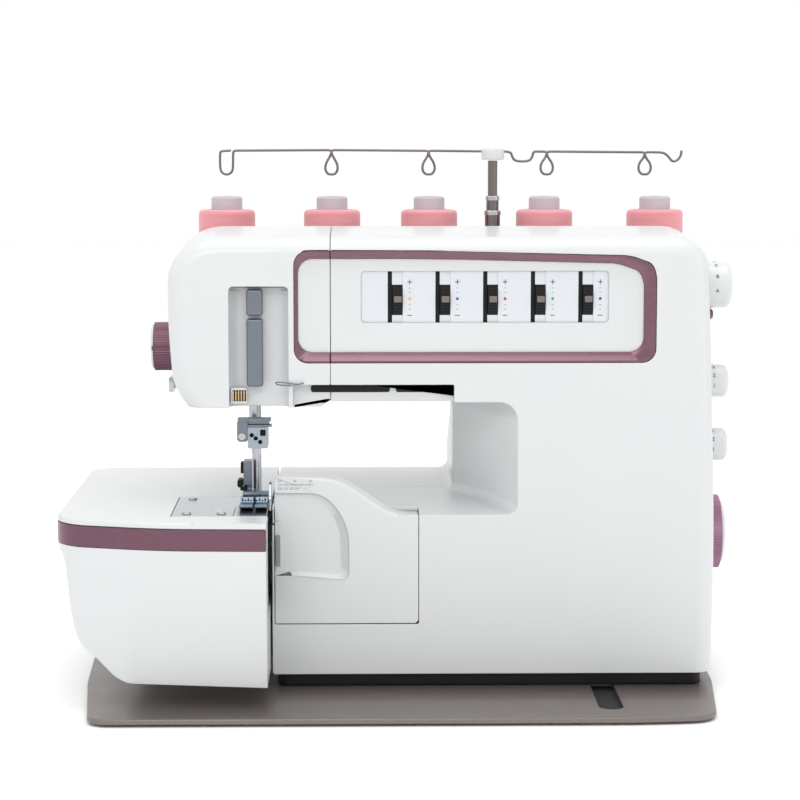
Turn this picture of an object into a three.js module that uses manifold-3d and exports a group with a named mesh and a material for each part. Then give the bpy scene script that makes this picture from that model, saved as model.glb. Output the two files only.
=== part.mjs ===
// Serger overlock machine, millimetres. X runs to the handwheel side, Y to the rear and Z up.
// The origin is the middle of the rubber mat's underside, where the machine rests.
import * as THREE from 'three';
import { mergeVertices } from 'three/addons/utils/BufferGeometryUtils.js';
import Module from 'manifold-3d';

const wasm = await Module();
wasm.setup();

// ---------- driving dimensions ----------
const gap = 0.3; // clearance between pieces that touch
const wall = 3; // thickness of the plastic shells

const frontY = -68; // flat front face
const partingY = 20; // seam between the front and rear casings
const armRearY = 52; // rear face of the arm
const lowerRearY = 113; // rear face of the motor housing and bed
const headLeftX = -149;
const seamX = -45; // seam between head cover and front casing
const casingLeftX = -83; // left side of the lower casing, next to the free arm
const extensionRightX = -84.2;
const throatX = 36; // right wall of the throat
const rightX = 204;
const bottomZ = 13.5;
const bedZ = 123;
const armZ = 190.6; // underside of the arm
const headZ = 187.3; // underside of the head
const topZ = 300.5;
const faceEndZ = 202; // the front face stops here, above a set-back light strip

const needleX = -90.7;
const needleY = -60;
const needleBar = { x: -95, y: -46, r: 3.2 };
const presserBar = { x: -93.7, y: -30, r: 2.7 };

const windowLeft = -25.3; // tension window
const windowRight = 133;
const windowLow = 241.5;
const windowHigh = 274.3;
const dialPitch = 30.5;
const firstDialX = -3.2;
const recessY = -64.5; // panel area sunk inside the trim frame

const spoolXs = [-118.1, -45.3, 22, 101.9, 178.8];
const spoolY = 75;
const spoolR = 19.6;
const standTopZ = 250;
const poleX = 66;
const wireZ = 348.6;

const mainShaft = { y: -10, z: 97, r: 4 };
const rockerShaft = { y: -4, z: 240, r: 4 };
const pulleyX = 165;
const pulleyWidth = 10;
const mainPulleyR = 26;
const motor = { y: 60, z: 60, r: 27, pulleyR: 9 };
const coverHinge = { y: -66, z: 49 };

// ---------- materials ----------
function finish(color, roughness, metalness) {
  return new THREE.MeshStandardMaterial({ color, roughness, metalness });
}
const whitePlastic = () => finish(0xe6eaeb, 0.3, 0);
const mauveMetal = () => finish(0x7a5466, 0.35, 0.6);
const bronzeMetal = () => finish(0x6d625d, 0.4, 0.6);
const blackPlastic = () => finish(0x17171a, 0.5, 0);
const rubber = () => finish(0x222222, 0.9, 0);
const brightSteel = () => finish(0xb4bac2, 0.25, 0.9);
const greySteel = () => finish(0x7d8594, 0.35, 0.8);
const castMetal = () => finish(0x8c9094, 0.6, 0.7);
const pinkThread = () => finish(0xe07884, 0.85, 0);

// ---------- geometry helpers ----------
// A closed outline through corners [x, y, radius], each rounded by its radius.
function outline(corners) {
  const points = corners.map(([x, y]) => new THREE.Vector2(x, y));
  const shape = new THREE.Shape();
  corners.forEach(([, , radius = 0], i) => {
    const corner = points[i];
    const before = points.at(i - 1);
    const after = points[(i + 1) % points.length];
    const start = corner.clone().lerp(before, radius / corner.distanceTo(before));
    const end = corner.clone().lerp(after, radius / corner.distanceTo(after));
    if (i === 0) shape.moveTo(start.x, start.y);
    else shape.lineTo(start.x, start.y);
    if (radius > 0) shape.quadraticCurveTo(corner.x, corner.y, end.x, end.y);
  });
  shape.closePath();
  return shape;
}

function rectangle(x0, x1, y0, y1, radius = 0) {
  return outline([[x0, y0, radius], [x1, y0, radius], [x1, y1, radius], [x0, y1, radius]]);
}

function extrude(shape, depth, curveSegments) {
  return new THREE.ExtrudeGeometry(shape, { depth, curveSegments, bevelEnabled: false });
}

// Prisms: the outline is drawn in XY, XZ or YZ and runs along the axis in the name.
function prismZ(shape, z0, z1, curveSegments = 4) {
  return solid(extrude(shape, z1 - z0, curveSegments).translate(0, 0, z0));
}

function prismY(shape, y0, y1, curveSegments = 4) {
  const geometry = extrude(shape, y1 - y0, curveSegments).rotateX(Math.PI / 2);
  return solid(geometry.translate(0, y1, 0));
}

function prismX(shape, x0, x1, curveSegments = 4) {
  const geometry = extrude(shape, x1 - x0, curveSegments);
  const axes = new THREE.Matrix4().makeBasis(
    new THREE.Vector3(0, 1, 0), new THREE.Vector3(0, 0, 1), new THREE.Vector3(1, 0, 0),
  );
  return solid(geometry.applyMatrix4(axes).translate(x0, 0, 0));
}

function block(x0, x1, y0, y1, z0, z1) {
  const geometry = new THREE.BoxGeometry(x1 - x0, y1 - y0, z1 - z0);
  return solid(geometry.translate((x0 + x1) / 2, (y0 + y1) / 2, (z0 + z1) / 2));
}

// Rods run along the axis in the name, from the first to the second coordinate.
function rodX(x0, x1, y, z, radius, sides = 20) {
  const geometry = new THREE.CylinderGeometry(radius, radius, x1 - x0, sides).rotateZ(Math.PI / 2);
  return solid(geometry.translate((x0 + x1) / 2, y, z));
}

function rodY(x, y0, y1, z, radius, sides = 20) {
  const geometry = new THREE.CylinderGeometry(radius, radius, y1 - y0, sides);
  return solid(geometry.translate(x, (y0 + y1) / 2, z));
}

function rodZ(x, y, z0, z1, radius, sides = 20) {
  const geometry = new THREE.CylinderGeometry(radius, radius, z1 - z0, sides).rotateX(Math.PI / 2);
  return solid(geometry.translate(x, y, (z0 + z1) / 2));
}

function solid(geometry) {
  const bare = geometry.clone();
  bare.deleteAttribute('normal');
  bare.deleteAttribute('uv');
  const merged = mergeVertices(bare, 1e-4);
  return new wasm.Manifold(new wasm.Mesh({
    numProp: 3,
    vertProperties: merged.getAttribute('position').array,
    triVerts: new Uint32Array(merged.index.array),
  }));
}

function joined(first, ...others) {
  return others.reduce((whole, other) => whole.add(other), first);
}

function cut(whole, ...tools) {
  return tools.reduce((rest, tool) => rest.subtract(tool), whole);
}

const machine = new THREE.Group();

function addPiece(name, shape, material, place = [0, 0, 0]) {
  const { vertProperties, triVerts } = shape.getMesh();
  const geometry = new THREE.BufferGeometry();
  geometry.setAttribute('position', new THREE.BufferAttribute(vertProperties, 3));
  geometry.setIndex(new THREE.BufferAttribute(triVerts, 1));
  geometry.computeVertexNormals();
  const mesh = new THREE.Mesh(geometry, material);
  mesh.name = name;
  mesh.position.set(...place);
  machine.add(mesh);
}

// ---------- body shells ----------
// The C-shaped front view of the machine, every wall moved inwards by inset.
function bodyOutline(inset) {
  return outline([
    [casingLeftX + inset, bottomZ + inset, 2],
    [rightX - 1 - inset, bottomZ + inset, 5],
    [rightX - inset, 90, 30],
    [rightX - 2 - inset, 180, 40],
    [rightX - 7 - inset, topZ - inset, 20],
    [headLeftX + inset, topZ - inset, 32],
    [headLeftX + inset, 235, 15],
    [headLeftX + 5 + inset, headZ + inset, 10],
    [seamX - 6 + inset, headZ + inset, 2],
    [seamX - 2 + inset, armZ + inset, 2],
    [throatX + inset, armZ + inset, 4],
    [throatX + inset, bedZ - inset, 4],
    [casingLeftX + inset, bedZ - inset, 1],
  ]);
}

// The rear housing behind the arm: the bed on the left and the motor column on the right.
function lowerRearOutline(inset) {
  return outline([
    [casingLeftX + inset, bottomZ + inset, 2],
    [rightX - 1 - inset, bottomZ + inset, 5],
    [rightX - inset, 170 - inset, 12],
    [throatX + inset, 170 - inset, 12],
    [throatX + inset, bedZ - inset, 2],
    [casingLeftX + inset, bedZ - inset, 1],
  ]);
}

// The facet that opens the throat towards the front.
function throatFlare(inset) {
  const plan = outline([
    [throatX - 2 + inset, 7 + inset],
    [throatX - 2 + inset, frontY - 2],
    [75 + inset * 1.5, frontY - 2],
    [75 + inset * 1.5, frontY],
    [throatX + inset, 7 + inset],
  ]);
  return prismZ(plan, bedZ - inset, armZ + inset);
}

// The bed falls 5 mm towards the front edge.
function bedSlope(inset) {
  const side = outline([
    [frontY - 2, bedZ - 5 - inset], [frontY, bedZ - 5 - inset], [-38, bedZ - inset],
    [-38, bedZ + 2], [frontY - 2, bedZ + 2],
  ]);
  return prismX(side, casingLeftX - 2, 75);
}

function bodySolid(inset) {
  const upper = prismY(bodyOutline(inset), frontY + inset, armRearY - inset, 6);
  const sideProfile = outline([
    [frontY + inset, 0], [armRearY - inset, 0], [armRearY - inset, topZ - 2 - inset, 14],
    [5, topZ - inset, 10], [frontY + inset, topZ - 5 - inset, 12],
  ]);
  const plan = outline([
    [headLeftX + inset, frontY + inset, 20], [rightX - inset, frontY + inset, 14],
    [rightX - inset, armRearY - inset, 10], [headLeftX + inset, armRearY - inset, 16],
  ]);
  const arm = upper
    .intersect(prismX(sideProfile, headLeftX, rightX))
    .intersect(prismZ(plan, 0, topZ));
  const rear = prismY(lowerRearOutline(inset), armRearY - inset - 4, lowerRearY - inset);
  const rearPlan = outline([
    [casingLeftX + inset, 0], [rightX - inset, 0], [rightX - inset, lowerRearY - inset, 22],
    [casingLeftX + inset, lowerRearY - inset, 3],
  ]);
  const rearSlope = outline([
    [0, 0], [lowerRearY, 0], [lowerRearY, 142 - inset], [armRearY, 172 - inset], [0, 172 - inset],
  ]);
  const lower = rear
    .intersect(prismZ(rearPlan, 0, 200))
    .intersect(prismX(rearSlope, headLeftX, rightX));
  return cut(joined(arm, lower), throatFlare(inset), bedSlope(inset));
}

// The mauve frame's outer and inner edges around the tension window.
function trimOutline(inset) {
  const left = -68.3 + inset * 0.35;
  const right = 163.2 - inset;
  const low = 216 + inset * 0.85;
  const high = 287.6 - inset * 0.65;
  return outline([
    [left, low, 9], [right, low, 9], [right, high - 15, 4], [right - 3, high - 8, 3],
    [right - 17, high - 3, 4], [20, high, 20], [left, high, 9],
  ]);
}
const trimWidth = 8;

function bodyShell() {
  const backing = block(-71, 166, frontY, recessY + wall, 213, 291);
  const hollow = cut(bodySolid(wall), backing);
  const shell = cut(bodySolid(0), hollow);
  const lightStripCut = block(-72, 34, frontY - 1, frontY + 8, armZ - 9, faceEndZ);
  const lightStripBack = block(-72, 34, frontY + 8, frontY + 11, armZ + 1, faceEndZ + 3);
  return cut(
    joined(shell, lightStripBack),
    lightStripCut,
    prismY(trimOutline(0), frontY - 1, recessY),
  );
}

const shell = bodyShell();
const headSpace = block(headLeftX - 5, seamX, frontY - 5, partingY, 150, topZ + 5);
const needleRecess = rectangle(-109.7, -71.9, headZ - 5, 265, 3);

function frontCasing() {
  const front = shell.intersect(block(-200, 250, frontY - 5, partingY - gap / 2, 0, 320));
  const headCut = block(headLeftX - 5, seamX + gap / 2, frontY - 5, partingY + 1, 150, topZ + 5);
  const coverOpening = block(-81.5, 11.6, frontY - 2, -51.6, coverHinge.z - 3, 150);
  const lowerKnifeNotch = block(-84, -81.2, frontY - 1, -49.5, 111.5, 124);
  const armOpening = block(casingLeftX - 1, casingLeftX + wall + 1, -62, -18.7, 60, 118);
  return cut(
    front,
    headCut,
    coverOpening,
    lowerKnifeNotch,
    armOpening,
    prismY(rectangle(windowLeft, windowRight, windowLow, windowHigh, 2), recessY - 1, frontY + 8),
    rodX(rightX - 12, rightX + 2, mainShaft.y, mainShaft.z, mainShaft.r + 1),
    rodX(rightX - 12, rightX + 2, -20, 262.6, 3.6),
    rodX(rightX - 12, rightX + 2, -20, 199.2, 3.6),
    rodX(rightX - 12, rightX + 2, -20, 157, 3.6),
  );
}

function headCover() {
  const head = shell.intersect(headSpace).subtract(block(seamX - gap / 2, seamX + 1, -90, 30, 100, 320));
  const trimmed = head.intersect(block(-200, 0, frontY - 5, partingY - gap / 2, 0, 320));
  const recessWall = prismY(rectangle(-112.7, -68.9, headZ, 268, 3), frontY + 1, -52);
  return cut(
    joined(trimmed, recessWall),
    prismY(needleRecess, frontY - 1, -55),
    rodZ(needleBar.x, needleBar.y, headZ - 5, headZ + 8, needleBar.r + 1),
    rodZ(presserBar.x, presserBar.y, headZ - 5, headZ + 8, presserBar.r + 1),
    rodX(headLeftX - 2, headLeftX + 9, -20, 222.7, 3.6),
    rodX(headLeftX - 2, headLeftX + 16, -5, 196, 2.8),
  );
}

function rearCasing() {
  const rear = shell.intersect(block(-200, 250, partingY + gap / 2, 150, 0, 320));
  return cut(rear, block(149.5, 180.5, lowerRearY - 5, lowerRearY + 1, 29.5, 52.5));
}

// ---------- base ----------
function notch(width, y0) {
  return outline([
    [131 - width / 2, y0, width / 2 - 0.1], [131 + width / 2, y0, width / 2 - 0.1],
    [131 + width / 2, -56], [131 - width / 2, -56],
  ]);
}

function baseTray() {
  const plan = outline([
    [-194, -151, 12], [150, -151, 20], [194, -146, 14], [205, -48, 10], [207, 100, 10],
    [196, 138, 12], [-200, 138, 12], [-209, 26, 10], [-205, -49, 8],
  ]);
  return cut(prismZ(plan, 1.5, 5), prismZ(notch(15, -128.6), 0, 6));
}

function baseParts() {
  const mat = prismZ(rectangle(-184, 182, -138, 126, 10), 0, 1.5 - gap);
  addPiece('foot_mat', cut(mat, prismZ(notch(22, -140), -1, 2)), rubber());
  addPiece('base_tray', baseTray(), bronzeMetal());
  addPiece('base_pan', prismZ(rectangle(-80, 196, -64, 108, 8), 5 + gap, bottomZ - gap), blackPlastic());
}

// ---------- frame, drive and free arm ----------
function machineFrame() {
  const plate = prismY(outline([
    [-70, 17], [194, 17], [194, 109, 4], [182, 109, 4], [182, 40, 4], [150, 40, 4], [150, 285, 4],
    [-120, 285, 4], [-120, 268, 4], [120, 268, 4], [120, 40, 4], [72, 40, 4], [72, 109, 4],
    [60, 109, 4], [60, 29], [-70, 29],
  ]), 6, 18);
  const lowLugs = joined(block(60, 72, -20, 7, 85, 109), block(182, 194, -20, 7, 85, 109));
  const highLugs = [-20, 80].map((x) => block(x, x + 10, -13, 7, 230, 272));
  return cut(
    joined(plate, lowLugs, ...highLugs, block(-20, -10, 6, 18, 230, 272), block(80, 90, 6, 18, 230, 272)),
    rodX(50, 200, mainShaft.y, mainShaft.z, mainShaft.r + gap),
    rodX(-40, 110, rockerShaft.y, rockerShaft.z, rockerShaft.r + gap),
  );
}

function beltLoop(offset) {
  const dy = motor.y - mainShaft.y;
  const dz = motor.z - mainShaft.z;
  const distance = Math.hypot(dy, dz);
  const line = Math.atan2(dz, dy);
  const lean = Math.acos((mainPulleyR - motor.pulleyR) / distance);
  const loop = new THREE.Shape();
  loop.absarc(mainShaft.y, mainShaft.z, mainPulleyR + offset, line + lean, line - lean + 2 * Math.PI);
  loop.absarc(motor.y, motor.z, motor.pulleyR + offset, line - lean, line + lean);
  return loop;
}

function driveParts() {
  addPiece('machine_frame', machineFrame(), castMetal());
  const shaft = rodX(-60, rightX + 8.3, mainShaft.y, mainShaft.z, mainShaft.r);
  const pulley = rodX(pulleyX, pulleyX + pulleyWidth, mainShaft.y, mainShaft.z, mainPulleyR, 32);
  addPiece('main_shaft', joined(shaft, pulley), greySteel());
  const body = rodX(80, 150, motor.y, motor.z, motor.r, 28);
  addPiece('drive_motor', joined(body, block(85, 145, 50, 70, 17, 40)), blackPlastic());
  const stub = rodX(150 + gap, pulleyX + 2, motor.y, motor.z, 3);
  const small = rodX(pulleyX, pulleyX + pulleyWidth, motor.y, motor.z, motor.pulleyR);
  addPiece('motor_pulley', joined(stub, small), greySteel());
  const belt = cut(
    prismX(beltLoop(gap + 1.5), pulleyX + 1, pulleyX + pulleyWidth - 1, 10),
    prismX(beltLoop(gap), pulleyX, pulleyX + pulleyWidth, 10),
  );
  addPiece('drive_belt', belt, rubber());
  const inlet = cut(block(150, 180, 96, lowerRearY + 1, 30, 52), block(154, 176, 106, 116, 34, 48));
  addPiece('power_inlet', inlet, blackPlastic());
  const wheelLeft = rightX + 0.9;
  const wheel = cut(
    rodX(wheelLeft, wheelLeft + 8, mainShaft.y, mainShaft.z, 24.4, 40),
    rodX(wheelLeft - 1, wheelLeft + 7.8, mainShaft.y, mainShaft.z, mainShaft.r + gap),
  );
  addPiece('handwheel_rim', wheel, mauveMetal());
  const capX = wheelLeft + 8 + gap;
  addPiece('handwheel_cap', rodX(capX, capX + 3.4, mainShaft.y, mainShaft.z, 21, 32), whitePlastic());
}

function freeArmParts() {
  const tube = cut(
    block(-151, -85.3, -104, -21, 62, 119.6),
    block(-148, -80, -101, -24, 65, 116.6),
    block(-108, -80, -90, -24, 110, 121),
  );
  addPiece('bed_arm', joined(tube, block(-90, -60, -24, -21, 62, 114)), castMetal());
  const plate = cut(
    block(-145, -85.2, -101, -23.5, 120, bedZ),
    block(-97, -89, needleY - 2, needleY + 2, 119, 124),
    block(-103.3, -99.7, -56, -24.5, 119, 124),
    block(-89.3, -86.1, -56, -24.5, 119, 124),
  );
  addPiece('needle_plate', plate, brightSteel());
  const feedDog = joined(
    block(-103, -86.4, -44, -28, 110, 114),
    block(-102.7, -100.3, -52, -28, 112, 122.6),
    block(-88.7, -86.7, -52, -28, 112, 122.6),
  );
  addPiece('feed_dog', feedDog, greySteel());
}

// ---------- accessory box around the free arm ----------
function extensionPlan(inset) {
  return outline([
    [extensionRightX, -130 + inset], [extensionRightX, lowerRearY - inset],
    [-218 + inset, lowerRearY - inset, 20], [-218 + inset, -106.6 + inset, 22], [-150, -127 + inset, 20],
  ]);
}

function extensionSolid(inset, right) {
  const frontView = outline([
    [right, 17 + inset], [right, bedZ - inset], [-218 + inset, bedZ - inset, 3],
    [-218 + inset, 104, 2], [-212 + inset, 97, 4], [-207 + inset, 55, 6], [-202 + inset, 44, 3],
    [-192 + inset, 36, 3], [-176 + inset, 20.5 + inset, 8],
  ]);
  const sideView = outline([
    [-131 + inset, bedZ + 1], [-130.5 + inset, 100], [-120 + inset, 16], [114, 16], [114, bedZ + 1],
  ]);
  return prismY(frontView, -140, 120)
    .intersect(prismX(sideView, -230, -80))
    .intersect(prismZ(extensionPlan(inset), 0, 130, 6));
}

function extensionParts() {
  const whole = extensionSolid(0, extensionRightX);
  const hollow = extensionSolid(wall, extensionRightX - wall);
  const armDoor = block(-100, -80, -106, -19, 59, 120);
  const band = (low, high) => block(-230, -80, -140, 120, low, high);
  const groove = cut(band(105.4, 119.2), prismZ(extensionPlan(1.8), 90, 130, 6));
  const plateCut = block(-145.5, -80, -101.5, -23, 119, 125);
  addPiece('extension_table', cut(whole, hollow, armDoor, plateCut, groove), whitePlastic());
  const ring = cut(whole.intersect(band(105.7, 118.9)), prismZ(extensionPlan(1.5), 90, 130, 6));
  const rearOpen = block(-200, -80, 60, 120, 90, 130);
  addPiece('extension_trim', cut(ring, rearOpen), mauveMetal());
}

// ---------- front details ----------
function coverParts() {
  const front = outline([
    [-81.2, coverHinge.z - 2, 1], [11.3, coverHinge.z - 2, 3], [11.3, 118, 1], [-4, 118, 8],
    [-22, 130, 8], [-40, 142.5, 12], [-81.2, 142.5, 2],
  ]);
  const skin = prismY(front, frontY, frontY + 4);
  const shelf = prismY(front, frontY, -52).intersect(block(-90, 20, -80, -50, 112, 150));
  const bore = rodX(-90, 20, coverHinge.y, coverHinge.z, 1.2, 12);
  addPiece('looper_cover', cut(joined(skin, shelf), bore), whitePlastic());
  addPiece('cover_hinge_pin', rodX(-81, 11, coverHinge.y, coverHinge.z, 0.9, 12), brightSteel());
}

function trimParts() {
  const ring = cut(
    prismY(trimOutline(gap), frontY + 0.1, recessY - gap),
    prismY(trimOutline(trimWidth), frontY - 1, recessY + 1),
  );
  const split = (x0, x1) => ring.intersect(block(x0, x1, -80, -60, 200, 300));
  addPiece('trim_frame_left', split(-80, seamX - gap / 2), mauveMetal());
  addPiece('trim_frame_right', split(seamX + gap / 2, 180), mauveMetal());
}

function tensionParts() {
  const front = recessY + wall + gap;
  const panel = block(windowLeft - 1.2, windowRight + 1.2, front, front + 2, windowLow - 1.2, windowHigh + 1.2);
  const dialXs = spoolXs.map((_, i) => firstDialX + i * dialPitch);
  const slots = dialXs.flatMap((x) => [
    block(x - 5.1, x + 4.4, front - 1, front + 3, 244.4, 267.6),
    block(x - 5.1, x - 2.4, front - 1, front + 3, windowLow, windowHigh),
  ]);
  addPiece('tension_panel', cut(panel, ...slots), whitePlastic());
  dialXs.forEach((x, i) => {
    const wheel = rodX(x - 2.1, x + 4.1, 0, 0, 16, 32);
    addPiece(`tension_dial_${i + 1}`, wheel, blackPlastic(), [0, -47.6, 256]);
  });
}

function headParts() {
  addPiece('take_up_guard_upper', block(-98.6, -88.3, -64, -55 - gap, 246.2, 262.8), brightSteel());
  addPiece('take_up_guard_lower', block(-98.6, -88.3, -64, -55 - gap, 200.6, 243.9), brightSteel());
  const bar = rodZ(needleBar.x, needleBar.y, 160, 284, needleBar.r);
  addPiece('needle_bar', bar, brightSteel());
  const clamp = cut(
    block(-100.4, -87.5, -64, -41, 158.3, 175.8),
    rodZ(needleBar.x, needleBar.y, 157, 177, needleBar.r + gap),
    rodZ(needleX, needleY, 157, 170, 1.1, 12),
    rodZ(needleX - 4.6, needleY, 157, 170, 1.1, 12),
  );
  addPiece('needle_clamp', clamp, greySteel());
  addPiece('needle_right', rodZ(needleX, needleY, 128.5, 169, 0.8, 10), brightSteel());
  addPiece('needle_left', rodZ(needleX - 4.6, needleY, 129.5, 169, 0.8, 10), brightSteel());

  addPiece('presser_bar', rodZ(presserBar.x, presserBar.y, 126.5, 280, presserBar.r), brightSteel());
  const holder = cut(
    block(-103, -94.3, -37, -23, 130, 148.5),
    rodZ(presserBar.x, presserBar.y, 120, 160, presserBar.r + gap),
  );
  addPiece('foot_holder', holder, greySteel());
  const sole = prismX(outline([
    [-84, 128.5, 1], [-78, bedZ + gap, 1], [-33, bedZ + gap], [-33, bedZ + 3], [-77, bedZ + 3, 1],
    [-83, 130.5, 1],
  ]), -103, -85.6);
  const ankle = block(-102.5, -97, -36, -26, 125, 129.7);
  const needleSlot = block(-97, -89, needleY - 2.5, needleY + 2.5, 120, 130);
  addPiece('presser_foot', cut(joined(sole, ankle), needleSlot), brightSteel());

  addPiece('upper_knife', block(-84.9, -83.4, -66, -50, 118, 138), greySteel());
  addPiece('lower_knife', block(-82.9, -81.5, -67, -50, 112, 122.7), greySteel());
}

function looper(hub, elbow, tip, y) {
  const arm = outline([
    [hub[0] + 5, hub[1], 1], [elbow[0] + 5, elbow[1] + 2, 3], [tip[0], tip[1] + 1], [tip[0], tip[1]],
    [elbow[0], elbow[1] - 5, 3], [hub[0] - 5, hub[1], 1],
  ]);
  return joined(prismY(arm, y, y + 3), rodY(hub[0], y, -20, hub[1], 6), rodY(hub[0], -21, 5.7, hub[1], 3.5));
}

function mechanismParts() {
  addPiece('lower_looper', looper([-45, 66], [-54, 94], [-84, 97], -57.5), brightSteel());
  addPiece('upper_looper', looper([-20, 78], [-34, 100], [-74, 103], -51), brightSteel());
  const rocker = joined(
    rodX(-106, 100, 0, 0, rockerShaft.r),
    prismX(outline([[0, -4, 2], [0, 4, 2], [-36, 16, 3], [-36, 10, 3]]), -104, -99.2),
  );
  addPiece('rocker_shaft', rocker, greySteel(), [0, rockerShaft.y, rockerShaft.z]);
  const lever = joined(
    prismX(outline([[-7, -5, 4], [-7, 5, 4], [46, 3, 2], [46, -3, 2]]), headLeftX - 3.6, headLeftX - 0.6),
    rodX(headLeftX - 1, headLeftX + 12, 0, 0, 2.5, 16),
  );
  addPiece('presser_lifter', lever, whitePlastic(), [0, -5, 196]);
}

// ---------- knobs on the sides ----------
function knobParts() {
  const knobRight = headLeftX - 0.7;
  const knob = joined(rodX(knobRight - 11, knobRight, 0, 0, 15.8, 32), rodX(knobRight - 1, knobRight + 8, 0, 0, 3, 16));
  addPiece('pressure_knob', knob, mauveMetal(), [0, -20, 222.7]);
  addPiece('pressure_knob_cap', rodX(knobRight - 13, knobRight - 11.3, 0, 0, 14.5, 32), whitePlastic(), [0, -20, 222.7]);
  const dials = [['stitch_dial', 262.6, 15.2, 199.4, 216.6], ['differential_dial', 199.2, 11, 203, 216],
    ['stitch_length_dial', 157, 11, 204, 216]];
  for (const [name, z, radius, inner, outer] of dials) {
    const dial = joined(rodX(inner, outer, 0, 0, radius, 28), rodX(inner - 8, inner + 1, 0, 0, 3, 16));
    addPiece(name, dial, whitePlastic(), [0, -20, z]);
  }
}

// ---------- thread stand ----------
function spoolSolid() {
  const profile = [
    [3.7, 0], [14, 0], [14, 2.2], [spoolR, 3], [spoolR, 58.5], [spoolR - 2, 60], [10.75, 60.3],
    [10.75, 66.5], [9, 68], [3.7, 68], [3.7, 0],
  ].map(([r, z]) => new THREE.Vector2(r, z));
  return solid(new THREE.LatheGeometry(profile, 18).rotateX(Math.PI / 2));
}

function eyelet() {
  const drop = new THREE.CatmullRomCurve3([
    new THREE.Vector3(0, 0, 1), new THREE.Vector3(3.4, 0, -7), new THREE.Vector3(3, 0, -12.5),
    new THREE.Vector3(0, 0, -15), new THREE.Vector3(-3, 0, -12.5), new THREE.Vector3(-3.4, 0, -7),
  ], true);
  const section = outline([[0.8, 0], [0, 0.8], [-0.8, 0], [0, -0.8]]);
  return solid(new THREE.ExtrudeGeometry(section, { steps: 14, extrudePath: drop, bevelEnabled: false }));
}

function threadStandParts() {
  const poleHole = rodZ(poleX, spoolY, standTopZ - 10, standTopZ + 2, 5.6);
  const plate = cut(prismZ(rectangle(-143, 203.5, armRearY + gap, 102, 14), 244, standTopZ), poleHole);
  const pins = spoolXs.map((x) => rodZ(x, spoolY, standTopZ - 1, standTopZ + 62, 3, 12));
  addPiece('spool_stand', joined(plate, ...pins), whitePlastic());
  spoolXs.forEach((x, i) => {
    addPiece(`thread_spool_${i + 1}`, spoolSolid(), pinkThread(), [x, spoolY, standTopZ + gap]);
  });
  const tube = (z0, z1, outer, inner) =>
    cut(rodZ(poleX, spoolY, z0, z1, outer), rodZ(poleX, spoolY, z0 - 1, z1 + 1, inner));
  addPiece('pole_lower_tube', tube(180, 307.3, 5.3, 4.6), brightSteel());
  addPiece('pole_middle_tube', tube(184, 317.4, 4.3, 3.6), brightSteel());
  addPiece('pole_upper_tube', rodZ(poleX, spoolY, 188, 342.5, 3.3), brightSteel());
  const cap = cut(rodZ(poleX, spoolY, 343, 351, 8, 24), rodX(poleX - 10, poleX + 10, spoolY, wireZ, 1.1, 8));
  const split = block(poleX - 10, poleX + 10, spoolY - 1.1, spoolY + 1.1, wireZ, 352);
  addPiece('thread_guide_cap', cut(cap, split), whitePlastic());
  const hook = (x, side) => joined(
    rodZ(x, spoolY, wireZ - 10, wireZ + 0.8, 0.8, 8), rodX(x - 0.8, x + 7 * side, spoolY, wireZ - 10, 0.8, 8),
  );
  const eyelets = [-45.6, 21.6, 103.5, 171.5].map((x) => eyelet().translate(x, spoolY, wireZ));
  const wire = joined(
    rodX(-122, 197, spoolY, wireZ, 0.8, 8), hook(-121.2, 1), ...eyelets,
  );
  addPiece('thread_guide_wire', wire, brightSteel());
}

addPiece('front_casing', frontCasing(), whitePlastic());
addPiece('head_cover', headCover(), whitePlastic());
addPiece('rear_casing', rearCasing(), whitePlastic());
baseParts();
driveParts();
freeArmParts();
extensionParts();
coverParts();
trimParts();
tensionParts();
headParts();
mechanismParts();
knobParts();
threadStandParts();

export default machine;
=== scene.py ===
"""A free-arm serger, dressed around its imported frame.

Sizes are in millimetres, X towards the handwheel, Y to the rear and Z up. The helpers turn them into metres.
"""
import math

import bmesh
import bpy
from mathutils import Matrix, Vector


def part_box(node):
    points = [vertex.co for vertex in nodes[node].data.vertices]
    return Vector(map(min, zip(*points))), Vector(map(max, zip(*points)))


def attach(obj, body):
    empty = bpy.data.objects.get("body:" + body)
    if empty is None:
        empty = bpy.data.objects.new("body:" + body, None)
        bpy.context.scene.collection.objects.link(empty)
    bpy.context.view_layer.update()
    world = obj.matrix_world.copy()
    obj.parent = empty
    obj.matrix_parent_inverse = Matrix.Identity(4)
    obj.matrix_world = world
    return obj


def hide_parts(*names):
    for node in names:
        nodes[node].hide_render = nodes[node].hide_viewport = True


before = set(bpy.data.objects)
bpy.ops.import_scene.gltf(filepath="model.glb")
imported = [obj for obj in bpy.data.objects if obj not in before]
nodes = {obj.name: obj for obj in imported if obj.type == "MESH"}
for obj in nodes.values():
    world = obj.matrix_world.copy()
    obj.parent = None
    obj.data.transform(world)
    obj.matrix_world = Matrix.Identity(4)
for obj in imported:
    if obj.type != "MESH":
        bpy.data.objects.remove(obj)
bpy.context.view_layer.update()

MM = 0.001

# ---------------------------------------------------------------- camera
# A long lens a metre and a half in front, a little above the spools.
camera_data = bpy.data.cameras.new("camera")
camera_data.lens = 106.3
camera_data.sensor_width = 36
camera = bpy.data.objects.new("camera", camera_data)
camera.location = (-0.026, -1.568, 0.367)
camera.rotation_euler = (math.radians(90 - 6.64), 0, math.radians(-0.97))
bpy.context.scene.collection.objects.link(camera)
bpy.context.scene.camera = camera
bpy.context.scene.view_settings.view_transform = "Standard"


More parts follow.
